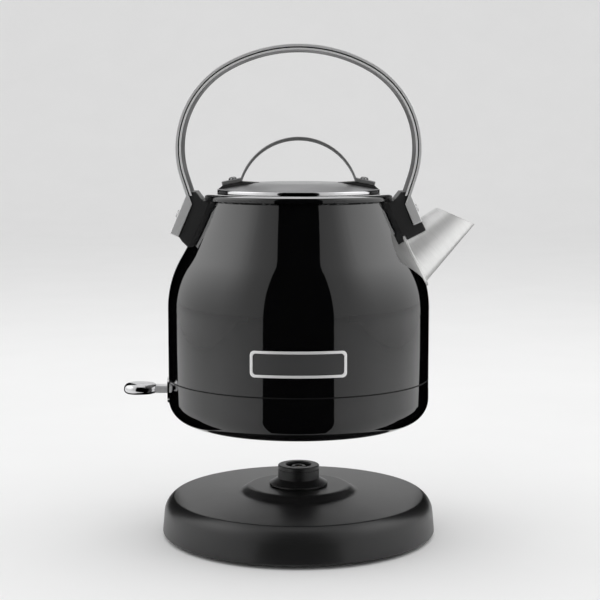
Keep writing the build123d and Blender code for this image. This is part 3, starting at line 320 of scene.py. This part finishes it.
@dataclass(frozen=True)
class Metal:
    """Bare metal, brushed or polished."""

    name: str
    colour: Colour
    roughness: float
    grain: Grain = Grain.EVEN
    fine: float = 2600.0
    stretch: float = 60.0
    depth: float = 0.000004
    tilt: float = 0.0
    metal: float = 1.0
    dark_share: float = 0.86
    smear: float = 45.0
    smear_shares: Range = (0.85, 1.2)
    line_share: float = 0.25
    # Painted highlight: a brighter colour, with its own roughness and metal share, painted on the
    # faces that look front and back or on the upright rim.
    painted_highlight: Colour | None = None
    highlight_faces: HighlightFaces = HighlightFaces.FRONT_AND_BACK
    highlight_turn: Range = (0.35, 0.75)
    highlight_roughness: float = 0.4
    highlight_metal: float = 0.6

    def pattern(self, shade: Shading) -> Socket:
        """Brush lines that run the way of the grain.

        Args:
            shade: Material being built.

        Returns:
            The height of the lines.
        """
        slow = self.fine / self.stretch
        match self.grain:
            case Grain.ALONG_LOOP:
                return shade.noise(shade.place((slow, self.fine, slow)))
            case Grain.ROUND_SPOUT:
                turn = (0.0, -self.tilt, 0.0)
                return shade.noise(shade.place((slow, slow, self.fine), turn))
            case Grain.ROUND_AXIS:
                reach = shade.node("VectorMath", shade.flattened())
                reach.operation = "LENGTH"
                out = shade.math("MULTIPLY", reach.outputs["Value"], self.fine)
                return shade.noise(shade.node("CombineXYZ", out).outputs[0])
        return shade.noise(shade.place(self.fine))

    def highlit_share(self, shade: Shading) -> Socket:
        """Share of a face that gets the painted highlight.

        Args:
            shade: Material being built.

        Returns:
            0 on the broad faces and 1 on the faces with the painted highlight.
        """
        way = shade.node("SeparateXYZ", shade.coords.outputs["Normal"])
        if self.highlight_faces is HighlightFaces.RIM:
            return shade.span(shade.math("ABSOLUTE", way.outputs["Z"]), 1.0, 0.0, *self.highlight_turn)
        return shade.span(shade.math("ABSOLUTE", way.outputs["Y"]), 0.0, 1.0, *self.highlight_turn)

    def material(self) -> bpy.types.Material:
        """Build the finish.

        Returns:
            A metal with its brush lines, faint smears, a little unevenness in colour and, where
            set, a painted highlight.
        """
        shade = Shading(self.name)
        lines = self.pattern(shade)
        smear = shade.noise(shade.place(self.smear))
        dark = scaled(self.colour, self.dark_share)
        tone = shade.mix(shade.span(lines, 0.0, 1.0), dark, self.colour)
        rough = shade.span(smear, *(self.roughness * share for share in self.smear_shares))
        rough = shade.math("MULTIPLY_ADD", lines, self.roughness * self.line_share, rough)
        if self.painted_highlight is None:
            shade.set(Metallic=self.metal)
        else:
            # Painted highlight, blended into the colour on the faces picked by the way they look.
            edge = self.highlit_share(shade)
            tone = shade.mix(edge, tone, self.painted_highlight)
            rough = shade.node("MapRange", edge, 0.0, 1.0, rough, self.highlight_roughness).outputs[0]
            shade.feed("Metallic", shade.span(edge, 1.0, self.highlight_metal, 0.0, 1.0))
        shade.feed("Base Color", tone)
        shade.feed("Roughness", rough)
        shade.bump(lines, self.depth)
        return shade.material


@dataclass(frozen=True)
class RolledRim:
    """Polished steel collar, its skirt painted black like gloss enamel as a painted dark
    reflection.
    """

    name: str
    steel: Colour = (0.8, 0.8, 0.81)
    # Skirt colour: a painted dark reflection on the steel collar, black like the enamel.
    enamel: Colour = (0.002, 0.002, 0.0022)
    rim: float = 0.0009
    rim_blur: float = 1.1
    polish: Point = (40.0, 40.0, 900.0)
    gloss: Range = (0.035, 0.08)
    peel: float = 300.0
    peel_depth: float = 0.000004
    ior: float = 1.5
    coat: float = 0.6
    coat_roughness: float = 0.02

    def material(self) -> bpy.types.Material:
        """Build the finish.

        Returns:
            A material that changes from the painted dark reflection, black like enamel, to steel
            just under the collar's top.
        """
        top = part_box("neck_ring")[1][2]
        shade = Shading(self.name)
        height = shade.node("SeparateXYZ", shade.coords.outputs["Object"]).outputs["Z"]
        rim = shade.span(height, 0.0, 1.0, top - self.rim * self.rim_blur, top - self.rim)
        # Below the rim, the steel collar gets the painted dark reflection.
        steel = shade.math("MAXIMUM", rim, shade.inward())
        shade.feed("Base Color", shade.mix(steel, self.enamel, self.steel))
        shade.feed("Metallic", steel)
        shade.feed("Roughness", shade.span(shade.noise(shade.place(self.polish)), *self.gloss))
        shade.set(IOR=self.ior, Coat_Weight=self.coat, Coat_Roughness=self.coat_roughness)
        shade.bump(shade.noise(shade.place(self.peel), Detail.SOFT), self.peel_depth)
        return shade.material


@dataclass(frozen=True)
class Moulding:
    """Moulded plastic or rubber with a spark-eroded texture."""

    name: str
    colour: Colour
    roughness: float
    texture: float = 2200.0
    texture_weight: float = 0.6
    texture_share: float = 0.12
    depth: float = 0.00002
    flow: Point = (28.0, 28.0, 60.0)
    flow_shares: Range = (0.98, 1.04)
    pale_share: float = 1.1
    pale_lift: float = 0.0005
    ior: float = 1.5

    def material(self) -> bpy.types.Material:
        """Build the finish.

        Returns:
            A plastic with fine grain, slight flow shading and uneven gloss.
        """
        shade = Shading(self.name)
        grain = shade.noise(shade.place(self.texture), Detail.USUAL, self.texture_weight)
        flow = shade.noise(shade.place(self.flow))
        pale = scaled(self.colour, self.pale_share, self.pale_lift)
        shade.feed("Base Color", shade.mix(shade.span(flow, 0.0, 1.0), self.colour, pale))
        even = shade.span(flow, *(self.roughness * share for share in self.flow_shares))
        uneven = self.roughness * self.texture_share
        shade.feed("Roughness", shade.math("MULTIPLY_ADD", grain, uneven, even))
        shade.set(IOR=self.ior)
        shade.bump(grain, self.depth)
        return shade.material


# Degrees by which the spout's axis rises above level, and its lean from upright.
SPOUT_RISE = 41.65
SPOUT_TILT = math.radians(90.0 - SPOUT_RISE)

VESSEL_ENAMEL = Enamel("vessel_enamel", bare_inside=True)
SKIRT_ENAMEL = Enamel("skirt_enamel", bare_inside=False)
COLLAR_RIM = RolledRim("collar_rim")
# Painted highlight on the lid's upright rim, brighter and glossier than the spun top.
LID_STEEL = Metal("lid_steel", (0.46, 0.46, 0.47), 0.27, Grain.ROUND_AXIS, fine=900.0,
                  depth=0.000001, painted_highlight=(0.88, 0.88, 0.89), highlight_faces=HighlightFaces.RIM,
                  highlight_roughness=0.07, highlight_metal=1.0)
BRUSHED_SPOUT = Metal("brushed_spout_steel", (0.96, 0.96, 0.95), 0.3, Grain.ROUND_SPOUT,
                      fine=5200.0, depth=0.0000016, tilt=SPOUT_TILT, metal=0.55)
# Painted highlight on the front and back faces of the handle's band.
BAND_STEEL = Metal("band_steel", (0.6, 0.6, 0.61), 0.4, Grain.ALONG_LOOP,
                   painted_highlight=(0.9, 0.9, 0.9), highlight_metal=0.7)
# Painted dark reflection: the liner's steel is near black, with a painted highlight on its front
# and back faces.
LINER_STEEL = Metal("liner_steel", (0.045, 0.045, 0.047), 0.42, Grain.ALONG_LOOP,
                    painted_highlight=(0.9, 0.9, 0.9))
# Painted highlight, faint, on the front and back faces of the lid's strap.
STRAP_STEEL = Metal("strap_steel", (0.42, 0.42, 0.43), 0.36, Grain.ALONG_LOOP,
                    painted_highlight=(0.5, 0.5, 0.5), highlight_metal=0.9)
# Painted shade: the badge frame's steel is near black so its side walls read dark, with a painted
# highlight on its front and back faces.
FRAME_STEEL = Metal("frame_steel", (0.05, 0.05, 0.05), 0.4,
                    painted_highlight=(0.95, 0.95, 0.95), highlight_metal=0.55)
LEVER_CHROME = Metal("lever_chrome", (0.8, 0.8, 0.81), 0.05, fine=700.0, depth=0.000002)
LEVER_NECK = Metal("lever_neck_steel", (0.86, 0.86, 0.87), 0.28, fine=700.0, depth=0.000002,
                   metal=0.7)
INNER_STEEL = Metal("inner_steel", (0.6, 0.6, 0.595), 0.3, Grain.ROUND_AXIS, fine=900.0,
                    depth=0.000002)
SCREW_STEEL = Metal("screw_steel", (0.62, 0.62, 0.62), 0.22, fine=1800.0)
SPREADER_METAL = Metal("spreader_aluminium", (0.66, 0.66, 0.65), 0.42)
CONTACT_BRASS = Metal("contact_brass", (0.7, 0.53, 0.24), 0.26)
BASE_PLASTIC = Moulding("base_plastic", (0.01, 0.01, 0.0103), 0.33, depth=0.000005, ior=1.6)
BLACK_PLASTIC = Moulding("black_plastic", (0.022, 0.022, 0.0225), 0.38)
CORE_PLASTIC = Moulding("core_plastic", (0.006, 0.006, 0.006), 0.5)
INNER_PLASTIC = Moulding("inner_plastic", (0.5, 0.5, 0.46), 0.5)
BADGE_FIELD = Moulding("badge_field", (0.036, 0.036, 0.037), 0.48, texture=5000.0)
FOOT_RUBBER = Moulding("foot_rubber", (0.02, 0.02, 0.02), 0.75)
SEAL_SILICONE = Moulding("seal_silicone", (0.005, 0.005, 0.005), 0.6)

Finish = Enamel | Metal | RolledRim | Moulding


def dress(finish: Finish, *nodes: str) -> None:
    """Give CAD nodes a finish.

    Args:
        finish: Finish to build.
        nodes: Names of the nodes.
    """
    material = finish.material()
    for name in nodes:
        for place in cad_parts[name].material_slots:
            place.material = material
        log.info("%s wears %s", name, finish.name)


class Workshop:
    """Steps by which a mesh is modelled by hand in edit mode."""

    @staticmethod
    def named(name: str) -> bpy.types.Object:
        """Name the object that was just added.

        Args:
            name: Its name.

        Returns:
            The object.
        """
        made = bpy.context.object
        made.name = name
        return made

    @staticmethod
    def plane(name: str, size: float, at: Point) -> bpy.types.Object:
        """Add a square plane.

        Args:
            name: Name of the new object.
            size: Length of a side.
            at: Middle of the plane.

        Returns:
            The new object, active and selected alone.
        """
        bpy.ops.object.select_all(action="DESELECT")
        bpy.ops.mesh.primitive_plane_add(size=size, location=at)
        return Workshop.named(name)

    @staticmethod
    def drum(name: str, sides: int, radius: float, depth: float, at: Point) -> bpy.types.Object:
        """Add an upright cylinder, with its place in its mesh.

        Args:
            name: Name of the new object.
            sides: Number of its side faces.
            radius: Its radius.
            depth: Its height.
            at: Its middle.

        Returns:
            The new object, active and selected alone.
        """
        bpy.ops.object.select_all(action="DESELECT")
        bpy.ops.mesh.primitive_cylinder_add(vertices=sides, radius=radius, depth=depth, location=at)
        made = Workshop.named(name)
        Workshop.settle(made)
        return made

    @staticmethod
    def settle(piece: bpy.types.Object) -> None:
        """Put an object's place, turn and scale into its mesh.

        Args:
            piece: Object to settle.
        """
        bpy.ops.object.select_all(action="DESELECT")
        piece.select_set(True)
        bpy.context.view_layer.objects.active = piece
        bpy.ops.object.transform_apply(location=True, rotation=True, scale=True)

    @staticmethod
    def leave() -> None:
        """Leave edit mode."""
        bpy.ops.object.mode_set(mode="OBJECT")

    @staticmethod
    def unpick(piece: bpy.types.Object, kind: Pick) -> None:
        """Choose what is to be picked, with nothing picked yet.

        Args:
            piece: Object that is worked on.
            kind: Points, edges or faces.
        """
        bpy.context.view_layer.objects.active = piece
        bpy.ops.object.mode_set(mode="EDIT")
        bpy.ops.mesh.select_mode(type=kind.value)
        bpy.ops.mesh.select_all(action="DESELECT")
        Workshop.leave()

    @staticmethod
    def pick_points(piece: bpy.types.Object, test: Callable[[Vector], bool]) -> None:
        """Select the points that pass a test, and enter edit mode.

        Args:
            piece: Object whose points are picked.
            test: Tells whether a point counts.
        """
        Workshop.unpick(piece, Pick.POINTS)
        for point in piece.data.vertices:
            point.select = test(point.co)
        bpy.ops.object.mode_set(mode="EDIT")

    @staticmethod
    def pick_edges(piece: bpy.types.Object, test: Callable[[Vector], bool]) -> None:
        """Select the edges whose two ends both pass a test, and enter edit mode.

        Args:
            piece: Object whose edges are picked.
            test: Tells whether a point counts.
        """
        Workshop.unpick(piece, Pick.EDGES)
        points = piece.data.vertices
        for edge in piece.data.edges:
            edge.select = all(test(points[end].co) for end in edge.vertices)
        bpy.ops.object.mode_set(mode="EDIT")

    @staticmethod
    def pick_faces(piece: bpy.types.Object,
                   test: Callable[[bpy.types.MeshPolygon], bool]) -> None:
        """Select the faces that pass a test, and enter edit mode.

        Args:
            piece: Object whose faces are picked.
            test: Tells whether a face counts.
        """
        Workshop.unpick(piece, Pick.FACES)
        for face in piece.data.polygons:
            face.select = test(face)
        bpy.ops.object.mode_set(mode="EDIT")

    @staticmethod
    def level(height: float, near: float) -> Callable[[Vector], bool]:
        """Return a test for points within a distance of a height."""
        return lambda point: abs(point.z - height) < near

    @staticmethod
    def topmost(face: bpy.types.MeshPolygon) -> bool:
        """Tell whether a face looks up."""
        return face.normal.z > UPWARD


@dataclass
class LeverPaddle:
    """Chrome paddle of the switch lever, crowned on top and drawn in to its neck."""

    rim: float = 0.0023
    rim_steps: int = 6
    near: float = 0.000023
    crown: float = 0.0016
    proud: float = 0.0012
    rings: tuple[float, ...] = (0.0026, 0.0013, 0.0012, 0.001)
    neck_half: float = 0.004
    sides: int = 72
    smooth: float = math.radians(40.0)

    def build(self) -> None:
        """Model the paddle and let it ride on the lever."""
        low, high = (Vector(corner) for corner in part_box("lever_paddle"))
        half = (high.y - low.y) / 2.0
        rim_z = high.z + self.proud - self.crown
        middle = Vector((low.x + half, 0.0, (low.z + rim_z) / 2.0))
        paddle = Workshop.drum("lever_paddle_chrome", self.sides, half, rim_z - low.z, middle)
        self.draw_out(paddle, middle, high.x - middle.x, half)
        self.raise_crown(paddle)
        self.round_rims(paddle, low.z, rim_z)
        self.cut_neck(high.x)
        bpy.ops.object.shade_smooth_by_angle(angle=self.smooth)
        paddle.data.materials.append(LEVER_CHROME.material())
        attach(paddle, "lever")
        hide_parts("lever_paddle")
        log.info("%s built with %d faces", paddle.name, len(paddle.data.polygons))

    def draw_out(self, paddle: bpy.types.Object, middle: Vector, run: float, half: float) -> None:
        """Stretch the inner half to a long oval.

        Args:
            paddle: Round tablet to shape.
            middle: Middle of the tablet.
            run: Length from the middle to the neck's end.
            half: Half width of the tablet.
        """
        reach = run / math.sqrt(1.0 - (self.neck_half / half) ** 2)
        Workshop.pick_points(paddle, lambda point: point.x > middle.x)
        bpy.ops.transform.resize(value=(reach / half, 1.0, 1.0), center_override=middle)
        Workshop.leave()

    def raise_crown(self, paddle: bpy.types.Object) -> None:
        """Raise the top to a low crown, ring by ring.

        Args:
            paddle: Tablet to raise.
        """
        Workshop.pick_faces(paddle, Workshop.topmost)
        reach = sum(self.rings)
        left = 1.0
        for ring in self.rings:
            inner = left - ring / reach
            bpy.ops.mesh.inset(thickness=ring, depth=self.crown * (left ** 2 - inner ** 2))
            left = inner
        Workshop.leave()

    def round_rims(self, paddle: bpy.types.Object, low_z: float, rim_z: float) -> None:
        """Round the upper and lower rims.

        Args:
            paddle: Tablet to round.
            low_z: Height of its underside.
            rim_z: Height of its upper rim.
        """
        for height in (low_z, rim_z):
            Workshop.pick_edges(paddle, Workshop.level(height, self.near))
            bpy.ops.mesh.bevel(offset=self.rim, segments=self.rim_steps, affect="EDGES")
            Workshop.leave()

    def cut_neck(self, neck_x: float) -> None:
        """Cut the oval off square where the lever's arm begins.

        Args:
            neck_x: Place of the cut.
        """
        bpy.ops.object.mode_set(mode="EDIT")
        bpy.ops.mesh.select_all(action="SELECT")
        bpy.ops.mesh.bisect(plane_co=(neck_x, 0.0, 0.0), plane_no=(1.0, 0.0, 0.0),
                            use_fill=True, clear_outer=True)
        Workshop.leave()


@dataclass
class PowerBase:
    """Round base with its connector boss."""

    plastic: Names = ("base_cover", "base_boss", "boss_post", "base_plate")
    rubber: Names = ("base_feet", "cord_gland")
    screws: Names = ("base_screws",)
    contacts: Names = ("boss_contact_pin", "boss_contact_rings", "terminal_tabs")

    def dress(self) -> None:
        """Give the base its finishes."""
        dress(BASE_PLASTIC, *self.plastic)
        dress(FOOT_RUBBER, *self.rubber)
        dress(SCREW_STEEL, *self.screws)
        dress(CONTACT_BRASS, *self.contacts)


@dataclass
class KettleBody:
    """Enamelled vessel with its collar, spout and badge."""

    inner_metal: Names = ("vessel_floor", "steam_tube", "filter_mesh", "heating_element")

    def dress(self) -> None:
        """Give the body its finishes."""
        dress(VESSEL_ENAMEL, "vessel_shell")
        dress(SKIRT_ENAMEL, "lower_shell")
        dress(SEAL_SILICONE, "seam_gasket")
        dress(COLLAR_RIM, "neck_ring")
        dress(FRAME_STEEL, "badge_frame")
        dress(BRUSHED_SPOUT, "spout")
        dress(BADGE_FIELD, "badge_plate")
        dress(INNER_STEEL, *self.inner_metal)
        dress(INNER_PLASTIC, "filter_frame")


@dataclass
class LoopHandle:
    """Loop handle of two straps and a dark core, on its bracket blocks."""

    brackets: Names = ("left_bracket", "right_bracket")
    fixings: Names = ("bracket_studs", "handle_screws")

    def dress(self) -> None:
        """Give the handle its finishes."""
        dress(BAND_STEEL, "handle_band")
        dress(LINER_STEEL, "handle_liner")
        dress(CORE_PLASTIC, "handle_core")
        dress(BLACK_PLASTIC, *self.brackets)
        dress(SCREW_STEEL, *self.fixings)


@dataclass
class Lid:
    """Lift-off lid with its arched strap."""

    spun: Names = ("lid_cap", "lid_plug")
    fixings: Names = ("lid_screws", "lid_nuts")

    def dress(self) -> None:
        """Give the lid its finishes."""
        dress(LID_STEEL, *self.spun)
        dress(SEAL_SILICONE, "lid_seal")
        dress(STRAP_STEEL, "lid_handle")
        dress(BLACK_PLASTIC, "lid_pads")
        dress(SCREW_STEEL, *self.fixings)


@dataclass
class SwitchAndControl:
    """Switch lever, heating and control under the vessel."""

    paddle: LeverPaddle = field(default_factory=LeverPaddle)
    pins: Names = ("lever_pin", "element_pins", "control_screws", "cover_screws")
    mouldings: Names = ("switch_carrier", "trip_plunger", "control_housing", "control_cap")
    underside: Names = ("bottom_cover", "connector_socket")

    def dress(self) -> None:
        """Build the paddle, and give the switch and the underside their finishes."""
        dress(LEVER_CHROME, "switch_bezel")
        dress(LEVER_NECK, "lever_arm")
        self.paddle.build()
        dress(SCREW_STEEL, *self.pins)
        dress(INNER_PLASTIC, *self.mouldings)
        dress(SPREADER_METAL, "heat_spreader")
        dress(CONTACT_BRASS, "bimetal_discs")
        dress(BLACK_PLASTIC, *self.underside)


@dataclass
class Studio:
    """Pale cove, soft boxes, dark cards and the camera."""

    cove_half: float = 4.0
    cove_rise: float = 3.0
    cove_bend: float = 1.4
    cove_steps: int = 24
    cove_foot: float = 0.01
    pale: Colour = (0.9, 0.9, 0.9)
    dull_share: float = 0.985
    mottle: float = 9.0
    matt: float = 0.9
    shine: float = 0.1
    sky: float = 0.8
    eye: Point = (0.0009, -0.9, 0.2470)
    pitch: float = math.radians(6.45)
    focus_px: float = 1476.0
    frame_px: float = 600.0
    sensor_mm: float = 36.0
    clip_end: float = 50.0
    scrim_dark: float = 0.42
    scrim_from: float = math.radians(19.0)
    scrim_to: float = math.radians(66.0)
    scrim_reach: float = 0.46
    scrim_height: float = 1.4
    scrim_lift: float = 0.0015
    scrim_sides: int = 96
    top_at: Point = (0.0, 0.3, 1.6)
    top_aim: Point = (0.0, 0.0, 0.2)
    top_size: Range = (1.4, 1.2)
    top_level: float = 0.7
    box_reach: float = 0.9
    box_middle: float = 0.1
    box_width: float = 2.2
    box_height: float = 1.8
    box_level: float = 1.0
    card_height: float = 0.8
    card_lift: float = 0.002
    back_y: float = 0.5
    back_inner: float = 0.2
    back_outer: float = 0.66
    under_inner: Point = (0.062, -0.055, 0.05)
    under_outer: Point = (0.105, -0.035, 0.05)
    under_end: float = 0.17
    front_y: float = -0.45
    front_foot: float = 0.242
    front_head: float = 0.212
    tip_half: float = 0.035
    tip_y: float = -0.09

    def build_cove(self) -> None:
        """Model the floor with its curved rise at the back."""
        cove = Workshop.plane("cove", 2.0 * self.cove_half, (0.0, 0.0, 0.0))
        Workshop.pick_edges(cove, lambda point: point.y > 0.0)
        rise = (0.0, 0.0, self.cove_rise)
        bpy.ops.mesh.extrude_region_move(TRANSFORM_OT_translate={"value": rise})
        Workshop.leave()
        Workshop.pick_edges(cove, lambda point: point.y > 0.0 and point.z < self.cove_foot)
        bpy.ops.mesh.bevel(offset=self.cove_bend, segments=self.cove_steps, affect="EDGES")
        Workshop.leave()
        bpy.ops.object.shade_smooth()
        shade = Shading("pale_cove")
        mottle = shade.span(shade.noise(shade.place(self.mottle), Detail.USUAL), 0.0, 1.0)
        shade.feed("Base Color", shade.mix(mottle, scaled(self.pale, self.dull_share), self.pale))
        shade.set(Roughness=self.matt, Specular_IOR_Level=self.shine)
        cove.data.materials.append(shade.material)
        Workshop.settle(cove)

    def blacken(self, card: bpy.types.Object) -> Shading:
        """Cover a card in black cloth that only reflections see.

        Args:
            card: Card to cover.

        Returns:
            The cloth's material, for further changes.
        """
        shade = Shading(card.name + "_cloth")
        shade.set(Base_Color=BLACK, Roughness=1.0, Specular_IOR_Level=0.0)
        card.data.materials.append(shade.material)
        card.visible_camera = False
        card.visible_diffuse = False
        card.visible_shadow = False
        card.visible_transmission = False
        return shade

    def flag(self, name: str, corners: list[Point]) -> None:
        """Stand a dark card.

        Args:
            name: Name of the card.
            corners: Its four corners, in order round it.
        """
        card = Workshop.plane(name, 1.0, (0.0, 0.0, 0.0))
        for index, corner in zip(ROUND_PLANE, corners):
            card.data.vertices[index].co = corner
        self.blacken(card)

    def scrim(self) -> None:
        """Stand an open drum of gauze round the kettle, dark in front and clear at the sides."""
        middle = (0.0, 0.0, self.scrim_lift + self.scrim_height / 2.0)
        drum = Workshop.drum("front_scrim", self.scrim_sides, self.scrim_reach,
                             self.scrim_height, middle)
        Workshop.pick_faces(drum, Workshop.topmost)
        bpy.ops.mesh.delete(type="FACE")
        Workshop.leave()
        shade = self.blacken(drum)
        parts = shade.node("SeparateXYZ", shade.coords.outputs["Object"])
        ahead = shade.math("MULTIPLY", parts.outputs["Y"], -1.0)
        turn = shade.math("ARCTAN2", shade.math("ABSOLUTE", parts.outputs["X"]), ahead)
        clear = shade.span(turn, self.scrim_dark, 0.0, self.scrim_from, self.scrim_to)
        shade.feed("Alpha", clear)

    def hang_top(self) -> None:
        """Hang the soft box above the kettle, unseen by the camera and by reflections."""
        width, height = self.top_size
        data = bpy.data.lights.new("top_box", "AREA")
        data.shape = "RECTANGLE"
        data.size, data.size_y = width, height
        data.energy = self.top_level * math.pi * width * height
        lamp = bpy.data.objects.new("top_box", data)
        bpy.context.scene.collection.objects.link(lamp)
        lamp.location = self.top_at
        way = Vector(self.top_aim) - Vector(self.top_at)
        lamp.rotation_euler = way.to_track_quat("-Z", "Y").to_euler()
        lamp.visible_camera = False
        lamp.visible_glossy = False

    @staticmethod
    def fade(shade: Shading, along: Socket, middle: float, half: float) -> Socket:
        """Fall smoothly from 1 at a middle to 0 on both sides of it.

        Args:
            shade: Material being built.
            along: Place along one axis.
            middle: Place of the middle.
            half: Distance at which 0 is reached.

        Returns:
            The falling value.
        """
        off = shade.math("ABSOLUTE", shade.math("SUBTRACT", along, middle))
        made = shade.node("MapRange", off, 0.0, half, 1.0, 0.0)
        made.interpolation_type = "SMOOTHSTEP"
        return made.outputs[0]

    def glow(self, name: str, side: Side) -> None:
        """Stand a soft box beside the kettle, brightest in its middle and fading to its rim.

        Args:
            name: Name of the soft box.
            side: Side of the kettle.
        """
        middle = (side.value * self.box_reach, self.box_middle, self.box_height / 2.0)
        face = Workshop.plane(name, 1.0, middle)
        bpy.ops.transform.resize(value=(self.box_width, self.box_height, 1.0))
        face.rotation_euler = (math.pi / 2.0, 0.0, math.pi / 2.0)
        Workshop.settle(face)
        shade = Shading(name + "_cloth")
        parts = shade.node("SeparateXYZ", shade.coords.outputs["Object"])
        across = self.fade(shade, parts.outputs["Y"], self.box_middle, self.box_width / 2.0)
        half = self.box_height / 2.0
        rise = self.fade(shade, parts.outputs["Z"], half, half)
        power = shade.math("MULTIPLY", shade.math("MULTIPLY", across, rise), self.box_level)
        lit = shade.node("Emission", None, power)
        both = shade.node("AddShader", lit.outputs[0], shade.node("BsdfTransparent").outputs[0])
        end = shade.tree.nodes["Material Output"].inputs["Surface"]
        shade.tree.links.new(both.outputs[0], end)
        shade.tree.nodes.remove(shade.surface)
        face.data.materials.append(shade.material)
        face.visible_camera = False
        face.visible_shadow = False

    def stand_side(self, side: Side) -> None:
        """Stand the soft box and the dark cards of one side.

        Args:
            side: Side of the kettle.
        """
        word, way = side.name.lower(), side.value
        self.glow(f"{word}_box", side)
        inner, outer = way * self.back_inner, way * self.back_outer
        self.flag(f"{word}_back_flag", [
            (inner, self.back_y, 0.0), (outer, self.back_y, 0.0),
            (outer, self.back_y, self.card_height), (inner, self.back_y, self.card_height),
        ])
        near = [(way * x, y, z) for x, y, z in (self.under_inner, self.under_outer)]
        self.flag(f"{word}_floor_flag", [
            *near, (outer, self.back_y, self.card_lift),
            (way * self.under_end, self.back_y, self.card_lift),
        ])

    def stand_front(self) -> None:
        """Stand the dark cards and the gauze in front of the kettle."""
        foot, head, tip = self.front_foot, self.front_head, self.tip_half
        self.flag("front_flag", [
            (-foot, self.front_y, 0.0), (foot, self.front_y, 0.0),
            (head, self.front_y, self.card_height), (-head, self.front_y, self.card_height),
        ])
        self.scrim()
        self.flag("floor_flag", [
            (-foot, self.front_y, self.card_lift), (foot, self.front_y, self.card_lift),
            (tip, self.tip_y, self.card_lift), (-tip, self.tip_y, self.card_lift),
        ])

    def light(self) -> None:
        """Set up the soft boxes, the dark cards and the pale surroundings."""
        for side in Side:
            self.stand_side(side)
        self.hang_top()
        self.stand_front()
        world = bpy.data.worlds.new("pale_room")
        world.use_nodes = True
        back = world.node_tree.nodes["Background"]
        back.inputs["Color"].default_value = WHITE
        back.inputs["Strength"].default_value = self.sky
        bpy.context.scene.world = world

    def aim(self) -> None:
        """Set the camera where the photograph was taken from."""
        data = bpy.data.cameras.new("camera")
        data.sensor_width = self.sensor_mm
        data.lens = self.sensor_mm * self.focus_px / self.frame_px
        data.clip_end = self.clip_end
        camera = bpy.data.objects.new("camera", data)
        bpy.context.scene.collection.objects.link(camera)
        camera.location = self.eye
        camera.rotation_euler = (math.pi / 2.0 - self.pitch, 0.0, 0.0)
        bpy.context.scene.camera = camera


def main() -> None:
    """Dress the kettle, build the studio, aim the camera and set the view transform."""
    logging.basicConfig(level=logging.INFO, format="%(name)s: %(message)s")
    bpy.ops.object.select_all(action="DESELECT")
    for assembly in (PowerBase(), KettleBody(), LoopHandle(), Lid(), SwitchAndControl()):
        assembly.dress()
    studio = Studio()
    studio.build_cove()
    studio.light()
    studio.aim()
    bpy.context.scene.view_settings.view_transform = "Standard"


if __name__ == "__main__":
    main()
